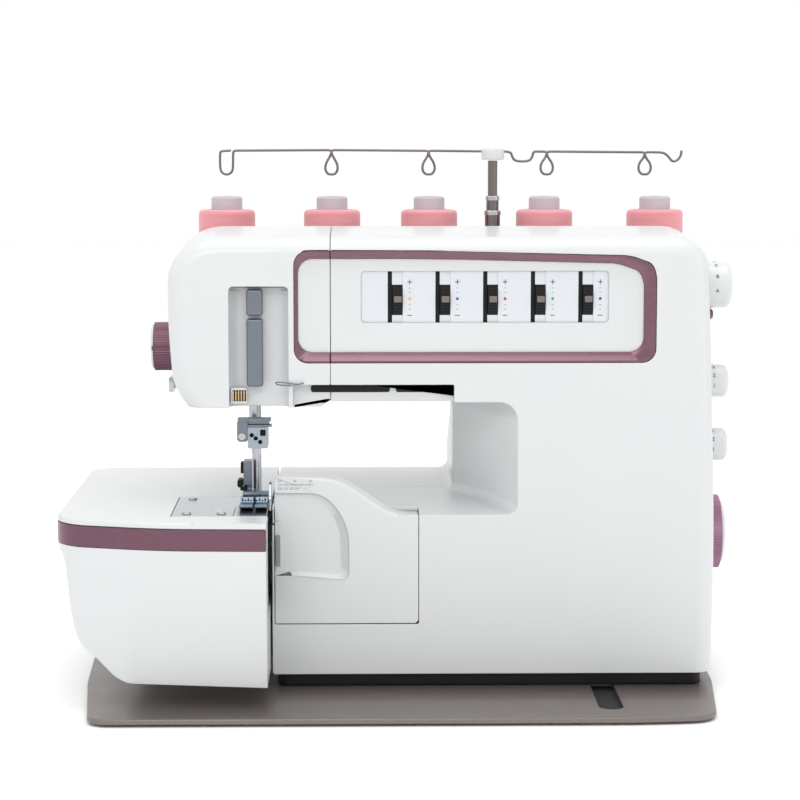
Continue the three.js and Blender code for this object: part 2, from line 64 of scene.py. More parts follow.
# ---------------------------------------------------------------- table and studio light
# A white table in a white room. One large soft light hangs overhead, a second stands
# high in front, a little to the left, and a weak one fills in from the right.
class Value:
    """A shader socket that can be added, subtracted and multiplied."""

    def __init__(self, finish, socket):
        self.finish = finish
        self.socket = socket

    def maths(self, operation, first, second=None):
        return self.finish.add("ShaderNodeMath", {"operation": operation}, {0: first, 1: second})

    def __add__(self, other):
        return self.maths("ADD", self, other)

    def __sub__(self, other):
        return self.maths("SUBTRACT", self, other)

    def __rsub__(self, other):
        return self.maths("SUBTRACT", other, self)

    def __mul__(self, other):
        return self.maths("MULTIPLY", self, other)

    __radd__ = __add__
    __rmul__ = __mul__


class Finish:
    """One material: a Principled shader with its fixed values, and the nodes that vary it."""

    def __init__(self, name, color, roughness, **fixed):
        self.material = bpy.data.materials.new(name)
        self.material.use_nodes = True
        self.tree = self.material.node_tree
        self.shader = self.tree.nodes["Principled BSDF"]
        self.put("Base Color", (*color, 1))
        self.put("Roughness", roughness)
        for label, value in fixed.items():
            self.put(label.replace("_", " ").title().replace("Ior", "IOR"), value)

    def put(self, label, value):
        socket = self.shader.inputs[label]
        if isinstance(value, Value):
            self.tree.links.new(value.socket, socket)
        else:
            socket.default_value = value

    def add(self, kind, settings=None, inputs=None, output=0):
        node = self.tree.nodes.new(kind)
        for label, value in (settings or {}).items():
            setattr(node, label, value)
        for label, value in (inputs or {}).items():
            if isinstance(value, Value):
                self.tree.links.new(value.socket, node.inputs[label])
            elif value is not None:
                node.inputs[label].default_value = value
        return Value(self, node.outputs[output])

    def place(self, stretch=(1, 1, 1), shift=(0, 0, 0)):
        spot = self.add("ShaderNodeTexCoord", output=3)
        return self.add("ShaderNodeMapping", inputs={"Vector": spot, "Scale": stretch, "Location": shift})

    def noise(self, scale, detail=3, stretch=(1, 1, 1)):
        return self.add("ShaderNodeTexNoise", inputs={
            "Vector": self.place(stretch), "Scale": scale, "Detail": detail})

    def tint(self, factor, dark, light):
        self.put("Base Color", self.add("ShaderNodeMix", {"data_type": "RGBA"}, {
            0: factor, 6: (*dark, 1), 7: (*light, 1)}, 2))

    def bump(self, height, strength, distance):
        self.put("Normal", self.add("ShaderNodeBump", inputs={
            "Height": height, "Strength": strength, "Distance": distance * MM}))


def table_finish():
    finish = Finish("table", (1, 1, 1), 0.6)
    finish.put("Roughness", finish.noise(6) * 0.1 + 0.55)
    return finish.material


bpy.ops.object.select_all(action="DESELECT")
bpy.ops.mesh.primitive_plane_add(size=12)
table = bpy.context.object
table.name = "table"
table.data.materials.append(table_finish())

world = bpy.data.worlds.new("studio")
world.use_nodes = True
world.node_tree.nodes["Background"].inputs["Color"].default_value = (1, 1, 1, 1)
world.node_tree.nodes["Background"].inputs["Strength"].default_value = 1.0
bpy.context.scene.world = world


def softbox(name, spot, aim, width, height, power):
    light = bpy.data.lights.new(name, "AREA")
    light.shape = "RECTANGLE"
    light.size = width
    light.size_y = height
    light.energy = power
    lamp = bpy.data.objects.new(name, light)
    lamp.location = spot
    lamp.rotation_euler = (Vector(aim) - Vector(spot)).to_track_quat("-Z", "Y").to_euler()
    bpy.context.scene.collection.objects.link(lamp)


softbox("overhead", (0, -0.1, 1.7), (0, 0, 0.2), 1.6, 1.4, 10)
softbox("front", (-0.3, -1.6, 1.15), (0, 0, 0.15), 1.4, 0.45, 5.5)
softbox("right_fill", (1.5, -0.6, 0.6), (0.2, 0, 0.2), 0.8, 1.2, 1.5)


# ---------------------------------------------------------------- base tray and mat
# A bronze-painted pressed metal tray, 3.5 mm thick, lies on a black rubber mat.
# A round-ended slot runs into its front edge, and the machine's pan stands on it.
def extent(node):
    """The lowest and highest corners of a frame node, in millimetres."""
    low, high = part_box(node)
    return low / MM, high / MM


def only(piece):
    bpy.ops.object.select_all(action="DESELECT")
    piece.select_set(True)
    bpy.context.view_layer.objects.active = piece


def pick(piece, kind, test):
    """In edit mode, selects the vertices, edges or faces that pass a test on their place, in millimetres."""
    bpy.ops.mesh.select_mode(type=kind)
    bpy.ops.mesh.select_all(action="DESELECT")
    mesh = bmesh.from_edit_mesh(piece.data)
    if kind == "VERT":
        chosen = [item for item in mesh.verts if test(item.co / MM)]
    elif kind == "EDGE":
        chosen = [item for item in mesh.edges if all(test(end.co / MM) for end in item.verts)]
    else:
        chosen = [item for item in mesh.faces if test(item.calc_center_median() / MM, item.normal)]
    for item in chosen:
        item.select_set(True)
    mesh.select_flush_mode()
    bmesh.update_edit_mesh(piece.data)


def spot(axis, a, b, along):
    """A point drawn at (a, b) on the plane across an axis: YZ across X, XZ across Y and XY across Z."""
    return MM * Vector({"X": (along, a, b), "Y": (a, along, b), "Z": (a, b, along)}[axis])


def start_drawing(name, first):
    bpy.ops.object.select_all(action="DESELECT")
    bpy.ops.mesh.primitive_plane_add(size=MM)
    piece = bpy.context.object
    piece.name = name
    bpy.ops.object.mode_set(mode="EDIT")
    bpy.ops.mesh.select_mode(type="VERT")
    bpy.ops.mesh.merge(type="CENTER")
    bpy.ops.transform.translate(value=first)
    return piece


def traced(name, corners, axis, low, high, steps=8):
    """A plate: an outline of corners (a, b, radius) is filled, rounded and pulled along an axis."""
    spots = [spot(axis, corner[0], corner[1], low) for corner in corners]
    radii = [corner[2] if len(corner) > 2 else 0 for corner in corners]
    piece = start_drawing(name, spots[0])
    for start, end in zip(spots, spots[1:]):
        bpy.ops.mesh.extrude_vertices_move(TRANSFORM_OT_translate={"value": end - start})
    bpy.ops.mesh.select_all(action="SELECT")
    bpy.ops.mesh.edge_face_add()
    for radius in sorted(set(radii) - {0}):
        turning = [place / MM for place, own in zip(spots, radii) if own == radius]
        pick(piece, "VERT", lambda co: any((co - place).length < 0.01 for place in turning))
        bpy.ops.mesh.bevel(offset=radius * MM, segments=steps, affect="VERTICES")
    bpy.ops.mesh.select_all(action="SELECT")
    bpy.ops.mesh.extrude_region_move(TRANSFORM_OT_translate={"value": spot(axis, 0, 0, high - low)})
    bpy.ops.mesh.select_all(action="SELECT")
    bpy.ops.mesh.normals_make_consistent(inside=False)
    bpy.ops.object.mode_set(mode="OBJECT")
    return piece


def slab(name, x0, x1, y0, y1, z0, z1, radius=0, axis="Z"):
    """A rectangular plate with its corners rounded in the plane across an axis."""
    sides = {"X": ((y0, y1), (z0, z1), (x0, x1)), "Y": ((x0, x1), (z0, z1), (y0, y1)),
             "Z": ((x0, x1), (y0, y1), (z0, z1))}[axis]
    (a0, a1), (b0, b1), (low, high) = sides
    corners = [(a0, b0, radius), (a1, b0, radius), (a1, b1, radius), (a0, b1, radius)]
    return traced(name, corners, axis, low, high)


def filling(name, low, high, radius=0, axis="Z"):
    """A plate that fills the space between two corners."""
    return slab(name, low.x, high.x, low.y, high.y, low.z, high.z, radius, axis)


def modify(piece, kind, **settings):
    only(piece)
    modifier = piece.modifiers.new(kind.lower(), kind)
    for label, value in settings.items():
        setattr(modifier, label, value)
    bpy.ops.object.modifier_apply(modifier=modifier.name)


def combine(piece, *tools, operation="DIFFERENCE"):
    for tool in tools:
        modify(piece, "BOOLEAN", object=tool, operation=operation, solver="EXACT")
        bpy.data.objects.remove(tool)
    return piece


def rounded(piece, radius, test, steps=6):
    """Rounds the edges whose two ends pass a test on their place."""
    only(piece)
    bpy.ops.object.mode_set(mode="EDIT")
    pick(piece, "EDGE", test)
    bpy.ops.mesh.bevel(offset=radius * MM, segments=steps, affect="EDGES", clamp_overlap=False)
    bpy.ops.object.mode_set(mode="OBJECT")
    return piece


def triangles(piece, test):
    """Cuts the faces that pass a test into triangles."""
    only(piece)
    bpy.ops.object.mode_set(mode="EDIT")
    pick(piece, "FACE", test)
    bpy.ops.mesh.quads_convert_to_tris()
    bpy.ops.object.mode_set(mode="OBJECT")
    return piece


def at_parting(co, normal):
    at_seam = abs(abs(normal.x) - 1) < 0.001 and abs(co.x - seam_x) < 0.3
    underneath = normal.z < -0.999 and head_z - 0.5 < co.z < arm_z + 0.5
    return at_seam or underneath or (abs(abs(normal.y) - 1) < 0.001 and abs(co.y - parting_y) < 0.3)


def soften(piece, width, segments=2, angle=32):
    """Rounds every sharp edge a little and shades the piece smoothly."""
    if width:
        modify(piece, "BEVEL", width=width * MM, segments=segments, limit_method="ANGLE",
               angle_limit=math.radians(angle), use_clamp_overlap=False, harden_normals=False)
    only(piece)
    bpy.ops.object.shade_smooth_by_angle(angle=math.radians(angle))
    modify(piece, "WEIGHTED_NORMAL", keep_sharp=True, weight=100)
    return piece


def fit(piece, body, slot, material, *replaced):
    """Gives a finished piece its material, its body and the frame nodes that it stands for."""
    piece.data.materials.clear()
    piece.data.materials.append(material)
    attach(piece, body)
    if replaced:
        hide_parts(*replaced)


def dress(material, *names):
    """Gives frame nodes that keep their shape a better material."""
    for name in names:
        nodes[name].data.materials.clear()
        nodes[name].data.materials.append(material)


def bronze_finish():
    finish = Finish("bronze_paint", (0.2, 0.17, 0.155), 0.34, metallic=0.6, coat_weight=0.2)
    flakes = finish.noise(2600, 1)
    finish.tint(flakes, (0.13, 0.11, 0.1), (0.25, 0.215, 0.2))
    finish.put("Roughness", finish.noise(40) * 0.12 + 0.34)
    finish.bump(flakes, 0.08, 0.1)
    return finish.material


def rubber_finish():
    finish = Finish("rubber", (0.02, 0.02, 0.021), 0.8)
    grain = finish.noise(900)
    finish.put("Roughness", grain * 0.2 + 0.7)
    finish.bump(grain, 0.4, 0.3)
    return finish.material


def black_finish():
    finish = Finish("black_plastic", (0.008, 0.008, 0.009), 0.5, specular_ior_level=0.25)
    grain = finish.noise(1500, 2)
    finish.put("Roughness", grain * 0.2 + 0.42)
    finish.bump(grain, 0.12, 0.1)
    return finish.material


bronze = bronze_finish()
rubber = rubber_finish()
black = black_finish()
tray_low, tray_high = extent("base_tray")
slot_x = 131
slot_half = 7.5
slot_front_y, slot_rear_y = -128.6, -56
tray = traced("tray", [
    (-194, tray_low.y, 12), (150, tray_low.y, 20), (194, tray_low.y + 5, 14), (205, -48, 10),
    (tray_high.x, 100, 10), (196, tray_high.y, 12), (-200, tray_high.y, 12),
    (tray_low.x, 26, 10), (-205, -49, 8)], "Z", tray_low.z, tray_high.z)
combine(tray, traced("tray_slot", [
    (slot_x - slot_half, slot_front_y, 7.3), (slot_x + slot_half, slot_front_y, 7.3),
    (slot_x + slot_half, slot_rear_y), (slot_x - slot_half, slot_rear_y)], "Z", 0, 10))
soften(tray, 0.9, 3)
fit(tray, "chassis", "bronze_metal", bronze, "base_tray")

mat = filling("ribbed_mat", *extent("foot_mat"), 10)
soften(mat, 0.3)
fit(mat, "chassis", "rubber", rubber, "foot_mat")

pan = filling("pan", *extent("base_pan"), 8)
soften(pan, 1)
fit(pan, "chassis", "black_plastic", black, "base_pan")


# ---------------------------------------------------------------- casings and head cover
# Three glossy white injection-moulded shells with 3 mm walls: the front casing with bed, column and
# arm, the head cover on the left, and the rear casing. They meet at a seam round the machine.
def white_finish():
    finish = Finish("white_plastic", (0.63, 0.645, 0.65), 0.3, coat_weight=0.3, coat_roughness=0.12)
    mottle = finish.noise(14, 2)
    finish.tint(mottle, (0.62, 0.637, 0.642), (0.645, 0.658, 0.66))
    finish.put("Roughness", finish.noise(60) * 0.08 + 0.28)
    finish.bump(finish.noise(1400, 2), 0.05, 0.05)
    return finish.material


white = white_finish()
front_low, front_high = extent("front_casing")
rear_low, rear_high = extent("rear_casing")
head_low, head_high = extent("head_cover")
front_y = front_low.y
parting_y = (front_high.y + rear_low.y) / 2
seam_x = head_high.x + 0.15
head_x, head_z = head_low.x, head_low.z
top_z = front_high.z
right_x = front_high.x
left_x = front_low.x
bottom_z = front_low.z
arm_rear_y = 52
bed_z = 123
arm_z = 190.6
throat_x = 36
facet_y = 7
crown_y = 5
facet_slope = 39 / 75
wall = 3
half_gap = 0.15


def throat_space(name, inset):
    """The space under the arm. It opens to the right and downwards as it comes forwards."""
    space = traced(name, [
        (-200, bed_z - inset), (throat_x + inset, bed_z - inset, 6), (throat_x + inset, arm_z + inset, 12),
        (seam_x - 2 + inset, arm_z + inset), (seam_x - 6 + inset, head_z + inset),
        (-200, head_z + inset)], "Y", rear_high.y + 8, facet_y)
    only(space)
    bpy.ops.object.mode_set(mode="EDIT")
    near = facet_y
    for y, drop in ((-38, 0), (front_y - 6, 6)):
        pick(space, "FACE", lambda co, normal: abs(co.y - near) < 0.1)
        bpy.ops.mesh.extrude_region_move(TRANSFORM_OT_translate={"value": (0, (y - near) * MM, 0)})
        pick(space, "VERT", lambda co: abs(co.y - y) < 0.1 and co.x > 20)
        bpy.ops.transform.translate(value=((near - y) * facet_slope * MM, 0, 0))
        pick(space, "VERT", lambda co: abs(co.y - y) < 0.1 and co.z < 150)
        bpy.ops.transform.translate(value=(0, 0, -drop * MM))
        near = y
    bpy.ops.mesh.select_all(action="SELECT")
    bpy.ops.mesh.normals_make_consistent(inside=False)
    bpy.ops.object.mode_set(mode="OBJECT")
    return space


def casing_solid(name, inset):
    """The whole body as one solid, every wall moved inwards by inset."""
    near, back, rear = front_y + inset, arm_rear_y - inset, rear_high.y - inset
    shelf_z, shelf_end_z = 172 - inset, 142 - inset
    cut_x = head_x + 17 + inset
    body = traced(name, [
        (left_x + inset, bottom_z + inset, 2), (right_x - 1 - inset, bottom_z + inset),
        (right_x - inset, 90, 30), (right_x - 2 - inset, 180, 40),
        (right_x - 7 - inset, top_z - inset, 22), (head_x + inset, top_z - inset, 32),
        (head_x + inset, 235, 15), (head_x + 3 + inset, 200, 9), (cut_x, 181), (cut_x, 150),
        (left_x + inset, 150)], "Y", near, rear, 10)
    combine(body, throat_space("throat", inset))
    combine(body, traced("behind_the_arm", [
        (back, top_z + 10), (back, shelf_z, 5), (rear + 0.05, shelf_end_z, 10),
        (rear + 0.05, shelf_end_z - 14), (rear + 8, shelf_end_z - 14), (rear + 8, top_z + 10)],
        "X", head_x - 5, right_x + 5))

    def at_top_or_left(co):
        return co.z > 260 or (co.x < head_x + 18 and co.z > head_z - 0.5)

    rounded(body, 12 - inset, lambda co: abs(co.y - near) < 0.1 and (
        at_top_or_left(co) or (co.x > 190 and co.z > bottom_z + inset - 0.1)), 7)
    rounded(body, 10 - inset, lambda co: abs(co.y - back) < 0.1 and (
        at_top_or_left(co) or (co.x > 190 and co.z > 175)), 5)
    rounded(body, 8 - inset, lambda co: abs(co.y - rear) < 0.1 and co.x > 190
            and co.z > bottom_z + inset - 0.1, 5)
    only(body)
    bpy.ops.object.mode_set(mode="EDIT")
    bpy.ops.mesh.select_all(action="SELECT")
    bpy.ops.mesh.bisect(plane_co=(0, crown_y * MM, 0), plane_no=(0, 1, 0))
    bpy.ops.object.mode_set(mode="OBJECT")
    for vertex in body.data.vertices:
        place = vertex.co / MM
        share = min(max((place.z - 262) / (top_z - inset - 262), 0), 1)
        fall = 0.066 * max(crown_y - place.y, 0) + 0.04 * max(place.y - crown_y, 0)
        vertex.co.z -= share * fall * MM
    return triangles(body, lambda co, normal: co.z > 255 and abs(normal.y) < 0.999)


def trim_outline(inset):
    """The edge of the mauve frame around the tension window."""
    left = -68.3 + inset * 0.35
    right = 163.2 - inset
    low = 216 + inset * 0.85
    high = 287.6 - inset * 0.65
    return [(left, low, 9), (right, low, 9), (right, high - 15, 4), (right - 3, high - 8, 3),
            (right - 17, high - 3, 4), (20, high, 20), (left, high, 9)]


trim_width = 8
recess_y = -64.5
panel_y = -62.1
casing = casing_solid("casing", 0)
core = casing_solid("casing_core", wall)
combine(core, slab("panel_backing", -71, 166, front_y, recess_y + wall, 213, 291))
combine(casing, core)
strip_left, strip_right, strip_z = -72, 34, 202
combine(casing, traced("strip_back", [
    (strip_left, head_z + 1.2), (seam_x - 6.6, head_z + 1.2), (seam_x - 2.4, arm_z + 1),
    (strip_right, arm_z + 1), (strip_right, strip_z + 3), (strip_left, strip_z + 3)],
    "Y", front_y + 7, front_y + 11), operation="UNION")
strip_cut = slab("strip_cut", strip_left, strip_right, front_y - 1, front_y + 8, arm_z - 9, strip_z, 0, "Y")
trim_seat = traced("trim_seat", trim_outline(0), "Y", front_y - 1, recess_y)
funnel = traced("panel_funnel", trim_outline(trim_width + 0.3), "Y", front_y - 1, recess_y - 0.1)
only(funnel)
bpy.ops.object.mode_set(mode="EDIT")
pick(funnel, "FACE", lambda co, normal: normal.y > 0.9)
bpy.ops.mesh.extrude_region_move(TRANSFORM_OT_translate={"value": (0, (panel_y - recess_y + 0.1) * MM, 0)})
bpy.ops.transform.resize(value=(0.92, 1, 0.72), center_override=(0.029, panel_y * MM, 0.2585))
bpy.ops.object.mode_set(mode="OBJECT")
combine(casing, strip_cut, trim_seat, funnel)


def copied(piece, name, shift=(0, 0, 0)):
    """A copy with a mesh of its own, moved by a shift."""
    twin = piece.copy()
    twin.data = piece.data.copy()
    twin.name = name
    twin.data.transform(Matrix.Translation(MM * Vector(shift)))
    bpy.context.scene.collection.objects.link(twin)
    return twin


window_low, window_high = 241.5, 274.3
window_left, window_right = -25.3, 133
cover_low, cover_high = extent("looper_cover")
front_casing = copied(casing, "front_shell")
combine(
    front_casing,
    slab("rear_side", -200, 250, parting_y - half_gap, 150, 0, 320),
    slab("head_side", head_x - 5, seam_x + half_gap, front_y - 5, parting_y + 1, 150, top_z + 5),
    slab("cover_opening", left_x + 1.5, cover_high.x + 0.3, front_y - 2, -51.6,
         cover_low.z - 0.5, 150, 1, "Y"),
    slab("knife_notch", -84, -81.2, front_y - 1, -49.5, 111.5, 124),
    slab("arm_opening", left_x - 1, left_x + wall + 1, -62, -18.7, 60, 118),
    slab("window", window_left, window_right, -66, front_y + 8, window_low, window_high, 2.5, "Y"))
triangles(front_casing, at_parting)
soften(front_casing, 0.7)
fit(front_casing, "chassis", "white_plastic", white, "front_casing")

head = copied(casing, "head_shell")
combine(head, slab("head_room", head_x - 5, seam_x - half_gap, front_y - 5, parting_y - half_gap,
                   150, top_z + 5), operation="INTERSECT")
recess_left, recess_right, recess_top, recess_back = -109.7, -71.9, 265, -55
combine(head, slab("recess_walls", recess_left - wall, recess_right + wall, front_y + 1, recess_back + wall,
                   head_z + 0.2, recess_top + wall), operation="UNION")
needle_recess = slab("needle_recess", recess_left, recess_right, front_y - 1, recess_back, head_z - 5,
                     recess_top, 3, "Y")
rounded(needle_recess, 8, lambda co: co.y > recess_back - 0.1 and (
    co.x < recess_left + 0.1 or co.x > recess_right - 0.1), 8)
combine(head, needle_recess)
triangles(head, at_parting)
soften(head, 0.7)
fit(head, "chassis", "white_plastic", white, "head_cover")

rear = copied(casing, "rear_shell")
combine(rear, slab("front_side", -200, 250, front_y - 5, parting_y + half_gap, 0, 320))
inlet_low, inlet_high = extent("power_inlet")
combine(rear, slab("inlet_opening", inlet_low.x - 0.5, inlet_high.x + 0.5, rear_high.y - 5, rear_high.y + 1,
                   inlet_low.z - 0.5, inlet_high.z + 0.5, 1, "Y"))
for column in range(7):
    x = 60 + column * 8
    combine(rear, slab("vent", x, x + 3, rear_high.y - 5, rear_high.y + 1, 60, 100, 1.4, "Y"))
triangles(rear, at_parting)
soften(rear, 0.7)
fit(rear, "chassis", "white_plastic", white, "rear_casing")
bpy.data.objects.remove(casing)

# ---------------------------------------------------------------- power inlet
# A black moulded mains socket is pressed into the rear casing. Three steel pins stand in its well,
# the middle one lower than the other two.
def joined(name, *pieces):
    """Several closed bodies of one material in one mesh."""
    bpy.ops.object.select_all(action="DESELECT")
    for piece in pieces:
        piece.select_set(True)
    bpy.context.view_layer.objects.active = pieces[0]
    bpy.ops.object.join()
    pieces[0].name = name
    return pieces[0]


def steel_finish(name, color, roughness, grain, **fixed):
    finish = Finish(name, color, roughness, metallic=1, **fixed)
    brushed = finish.noise(grain, 2, (1, 1, 0.06))
    finish.tint(brushed, tuple(0.88 * part for part in color), color)
    finish.put("Roughness", brushed * 0.12 + (roughness - 0.05))
    finish.bump(brushed, 0.06, 0.05)
    return finish.material


bright = steel_finish("bright_steel", (0.5, 0.515, 0.54), 0.22, 900)
grey = steel_finish("grey_steel", (0.2, 0.225, 0.26), 0.32, 700)
inlet = filling("mains_socket", inlet_low, inlet_high, 1, "Y")
socket_rim, socket_floor, pin_gap = 4, 6, 7
combine(inlet, filling("socket_well", inlet_low + Vector((socket_rim, socket_floor, socket_rim)),
                       inlet_high + Vector((-socket_rim, 2, -socket_rim)), 2, "Y"))
soften(inlet, 0.5)
fit(inlet, "chassis", "black_plastic", black, "power_inlet")
inlet_middle = (inlet_low + inlet_high) / 2
pins = []
for offset in (-pin_gap, 0, pin_gap):
    lift = 2 if offset else -2
    x, z = inlet_middle.x + offset, inlet_middle.z + lift
    pins.append(slab("pin", x - 1.1, x + 1.1, inlet_low.y + socket_floor + 0.2, inlet_high.y - 2,
                     z - 2.2, z + 2.2, 0.5, "Y"))
fit(soften(joined("socket_pins", *pins), 0.2), "chassis", "bright_steel", bright)


# ---------------------------------------------------------------- frame and drive
# Inside the shells a cast plate carries the main shaft, the rocker shaft and the motor, which
# turns the shaft through a rubber belt.
def cast_finish():
    finish = Finish("cast_metal", (0.3, 0.31, 0.32), 0.6, metallic=0.8)
    grain = finish.noise(500, 4)
    finish.tint(grain, (0.24, 0.25, 0.26), (0.36, 0.37, 0.38))
    finish.put("Roughness", grain * 0.25 + 0.45)
    finish.bump(grain, 0.35, 0.2)
    return finish.material


cast = cast_finish()
dress(cast, "machine_frame", "bed_arm")
dress(grey, "main_shaft", "motor_pulley", "rocker_shaft")
dress(bright, "cover_hinge_pin", "lower_looper", "upper_looper")
dress(black, "drive_motor")
dress(rubber, "drive_belt")


# ---------------------------------------------------------------- needle plate and feed dog
# A brushed steel plate is screwed over the free arm. Two toothed bars come up through its slots.
plate_low, plate_high = extent("needle_plate")
through = (115, 125)
groove_z = plate_high.z - 0.3
plate = filling("stitch_plate", plate_low, plate_high, 1.5)
combine(
    plate,
    slab("needle_hole", -97, -89, -62, -58, *through, 1.8),
    slab("left_slot", -103.3, -99.7, -56, -24.5, *through, 0.8),
    slab("right_slot", -89.3, -86.1, -56, -24.5, *through, 0.8),
    slab("cross_groove", -143, -112, -62.2, -61.8, groove_z, through[1]),
    slab("long_groove", -106.3, -105.9, -99, -64, groove_z, through[1]),
    slab("latch_slot", -121, -113, -80, -77.5, groove_z - 0.3, through[1], 1.2))
soften(plate, 0.25)
fit(plate, "chassis", "bright_steel", bright, "needle_plate")


def turned(name, profile, axis, centre, steps=48):
    """A round piece: a profile of (along, radius) spun about an axis through a centre (a, b)."""
    points = [spot(axis, centre[0] + radius, centre[1], along) for along, radius in profile]
    piece = start_drawing(name, points[0])
    for start, end in zip(points, points[1:]):
        bpy.ops.mesh.extrude_vertices_move(TRANSFORM_OT_translate={"value": end - start})
    bpy.ops.mesh.select_all(action="SELECT")
    direction = {"X": (1, 0, 0), "Y": (0, 1, 0), "Z": (0, 0, 1)}[axis]
    bpy.ops.mesh.spin(steps=steps, angle=math.tau, center=spot(axis, *centre, 0), axis=direction)
    bpy.ops.mesh.select_all(action="SELECT")
    bpy.ops.mesh.remove_doubles(threshold=0.01 * MM)
    bpy.ops.mesh.normals_make_consistent(inside=False)
    bpy.ops.object.mode_set(mode="OBJECT")
    return piece


def screw(name, axis, centre, face, radius, turn=1):
    """A slotted screw head on a face across Y or Z. Its turn is -1 where the face looks down the axis."""
    top = face + turn * 0.9
    head = turned(name, [
        (face, 0), (face, radius), (top - turn * 0.3, radius), (top, radius - 0.3), (top, 0)],
        axis, centre, 24)
    long = (centre[0] - 9, centre[0] + 9)
    narrow = (centre[1] - 0.3, centre[1] + 0.3)
    deep = (top - 0.5, top + 0.5)
    combine(head, slab("driver_slot", *long, *((deep + narrow) if axis == "Y" else (narrow + deep))))
    return soften(head, 0)


plate_screws = joined("plate_screws", *[
    screw("plate_screw", "Z", place, plate_high.z + 0.02, 3)
    for place in ((-136, -92), (-136, -33), (-114, -92))])
fit(plate_screws, "chassis", "bright_steel", bright)

dog_low, dog_high = extent("feed_dog")


bridge_z = 112
tooth_pitch = 1.5


def toothed_bar(name, left, right):
    teeth = []
    for step in range(16):
        y = dog_low.y + step * tooth_pitch
        teeth += [(y, dog_high.z - 1), (y + 0.5, dog_high.z), (y + 1, dog_high.z)]
    outline = [(dog_low.y, bridge_z)] + teeth + [(dog_high.y, dog_high.z - 1), (dog_high.y, bridge_z)]
    return traced(name, outline, "X", left, right)


dog = joined(
    "toothed_feed", toothed_bar("left_teeth", -102.7, -100.3), toothed_bar("right_teeth", -88.7, -86.7),
    slab("feed_bridge", dog_low.x, dog_high.x, -44, dog_high.y, dog_low.z, bridge_z - 0.1))
soften(dog, 0)
fit(dog, "feed", "grey_steel", grey, "feed_dog")


# ---------------------------------------------------------------- accessory box round the free arm
# A hollow white moulding slides off to the left. A satin mauve band is let into its wall
# just below the table edge.
def mauve_finish(name, dark, light):
    finish = Finish(name, light, 0.3, metallic=0.85, coat_weight=0.15)
    brushed = finish.noise(700, 2, (0.06, 1, 1))
    finish.tint(brushed, dark, light)
    finish.put("Roughness", brushed * 0.14 + 0.24)
    finish.bump(brushed, 0.05, 0.05)
    return finish.material


mauve = mauve_finish("mauve_metal", (0.14, 0.063, 0.09), (0.18, 0.093, 0.125))
box_low, box_high = extent("extension_table")
band_low, band_high = extent("extension_trim")


def box_plan(inset):
    """The box seen from above, its walls moved inwards by inset."""
    return [(box_high.x, box_low.y + inset), (box_high.x, box_high.y - inset),
            (box_low.x + inset, box_high.y - inset, 20), (box_low.x + inset, -106.6 + inset, 22),
            (-150, -127 + inset, 20)]


def box_solid(name, inset, right):
    body = traced(name, [
        (right, box_low.z + inset), (right, bed_z - inset), (box_low.x + inset, bed_z - inset, 3),
        (box_low.x + inset, 104, 2), (-212 + inset, 97, 4), (-207 + inset, 55, 14), (-202 + inset, 44, 5),
        (-192 + inset, 36, 5), (-176 + inset, 20.5 + inset, 8)], "Y", -140, 120, 8)
    side = traced("box_side", [
        (-131 + inset, bed_z + 1), (-130.5 + inset, 100, 20), (-120 + inset, 16), (114, 16),
        (114, bed_z + 1)], "X", -230, -80)
    plan = traced("box_outline", box_plan(inset), "Z", 0, 130, 12)
    combine(body, side, operation="INTERSECT")
    return combine(body, plan, operation="INTERSECT")


def band_tool(name, low, high, depth):
    ring = slab(name, -230, -80, -140, 120, low, high)
    return combine(ring, traced("band_inside", box_plan(depth), "Z", 90, 130, 12))


box = box_solid("accessory_box", 0, box_high.x)
band = copied(box, "mauve_band")
combine(box, box_solid("box_inside", wall, box_high.x - wall),
        slab("arm_door", -100, -80, -106, -19, 59, 120),
        slab("plate_seat", -145.5, -80, -101.5, -23, 119, 125, 1),
        band_tool("band_groove", band_low.z - 0.3, band_high.z + 0.3, 1.8))
rounded(box, 1.6, lambda co: abs(co.z - bed_z) < 0.05 and (co.x < -147 or co.y < -103 or co.y > -20)
        and co.x < box_high.x - 0.1, 4)
soften(box, 0.6)
fit(box, "extension", "white_plastic", white, "extension_table")
combine(band, band_tool("band_ring", band_low.z, band_high.z, 1.5), operation="INTERSECT")
combine(band, slab("band_back", -200, -80, 60, 120, 90, 130))
soften(band, 0.5)
fit(band, "extension", "mauve_metal", mauve, "extension_trim")


# ---------------------------------------------------------------- looper cover
# A white hinged flap with a curved shelf on top, and a finger scoop that opens to its left edge.
def drop_outline():
    return [(cover_low.x, cover_low.z, 1), (cover_high.x, cover_low.z, 3), (cover_high.x, 118, 1),
            (-4, 118, 9), (-22, 130, 9), (-40, cover_high.z, 11), (cover_low.x, cover_high.z, 2)]


cover = traced("looper_flap", drop_outline(), "Y", front_y, -52, 10)
combine(cover, slab("behind_the_flap", -90, 20, front_y + 4, -50, 40, 112))
rounded(cover, 3.2, lambda co: abs(co.y - front_y) < 0.1 and co.z > 118.3 and -79 < co.x < 8, 5)
scoop = traced("scoop", [
    (cover_low.x - 4, 78.5), (-67, 78.5, 3), (-33.4, 75.4, 6), (-33.8, 112.4, 12), (-49.4, 131.8, 8),
    (cover_low.x - 4, 132.4)], "Y", front_y - 2, front_y + 0.1, 8)
only(scoop)
bpy.ops.object.mode_set(mode="EDIT")
pick(scoop, "FACE", lambda co, normal: normal.y > 0.9)
bpy.ops.mesh.extrude_region_move(TRANSFORM_OT_translate={"value": (0, 3 * MM, 0)})
bpy.ops.transform.resize(value=(0.9, 1, 0.9), center_override=(-0.086, front_y * MM, 0.105))
bpy.ops.object.mode_set(mode="OBJECT")
for vertex in scoop.data.vertices:
    if vertex.co.y > (front_y + 2) * MM:
        vertex.co.y = (front_y + 0.4 + 2.7 * min(max((vertex.co.x / MM + 85) / 48, 0), 1)) * MM
combine(cover, scoop)
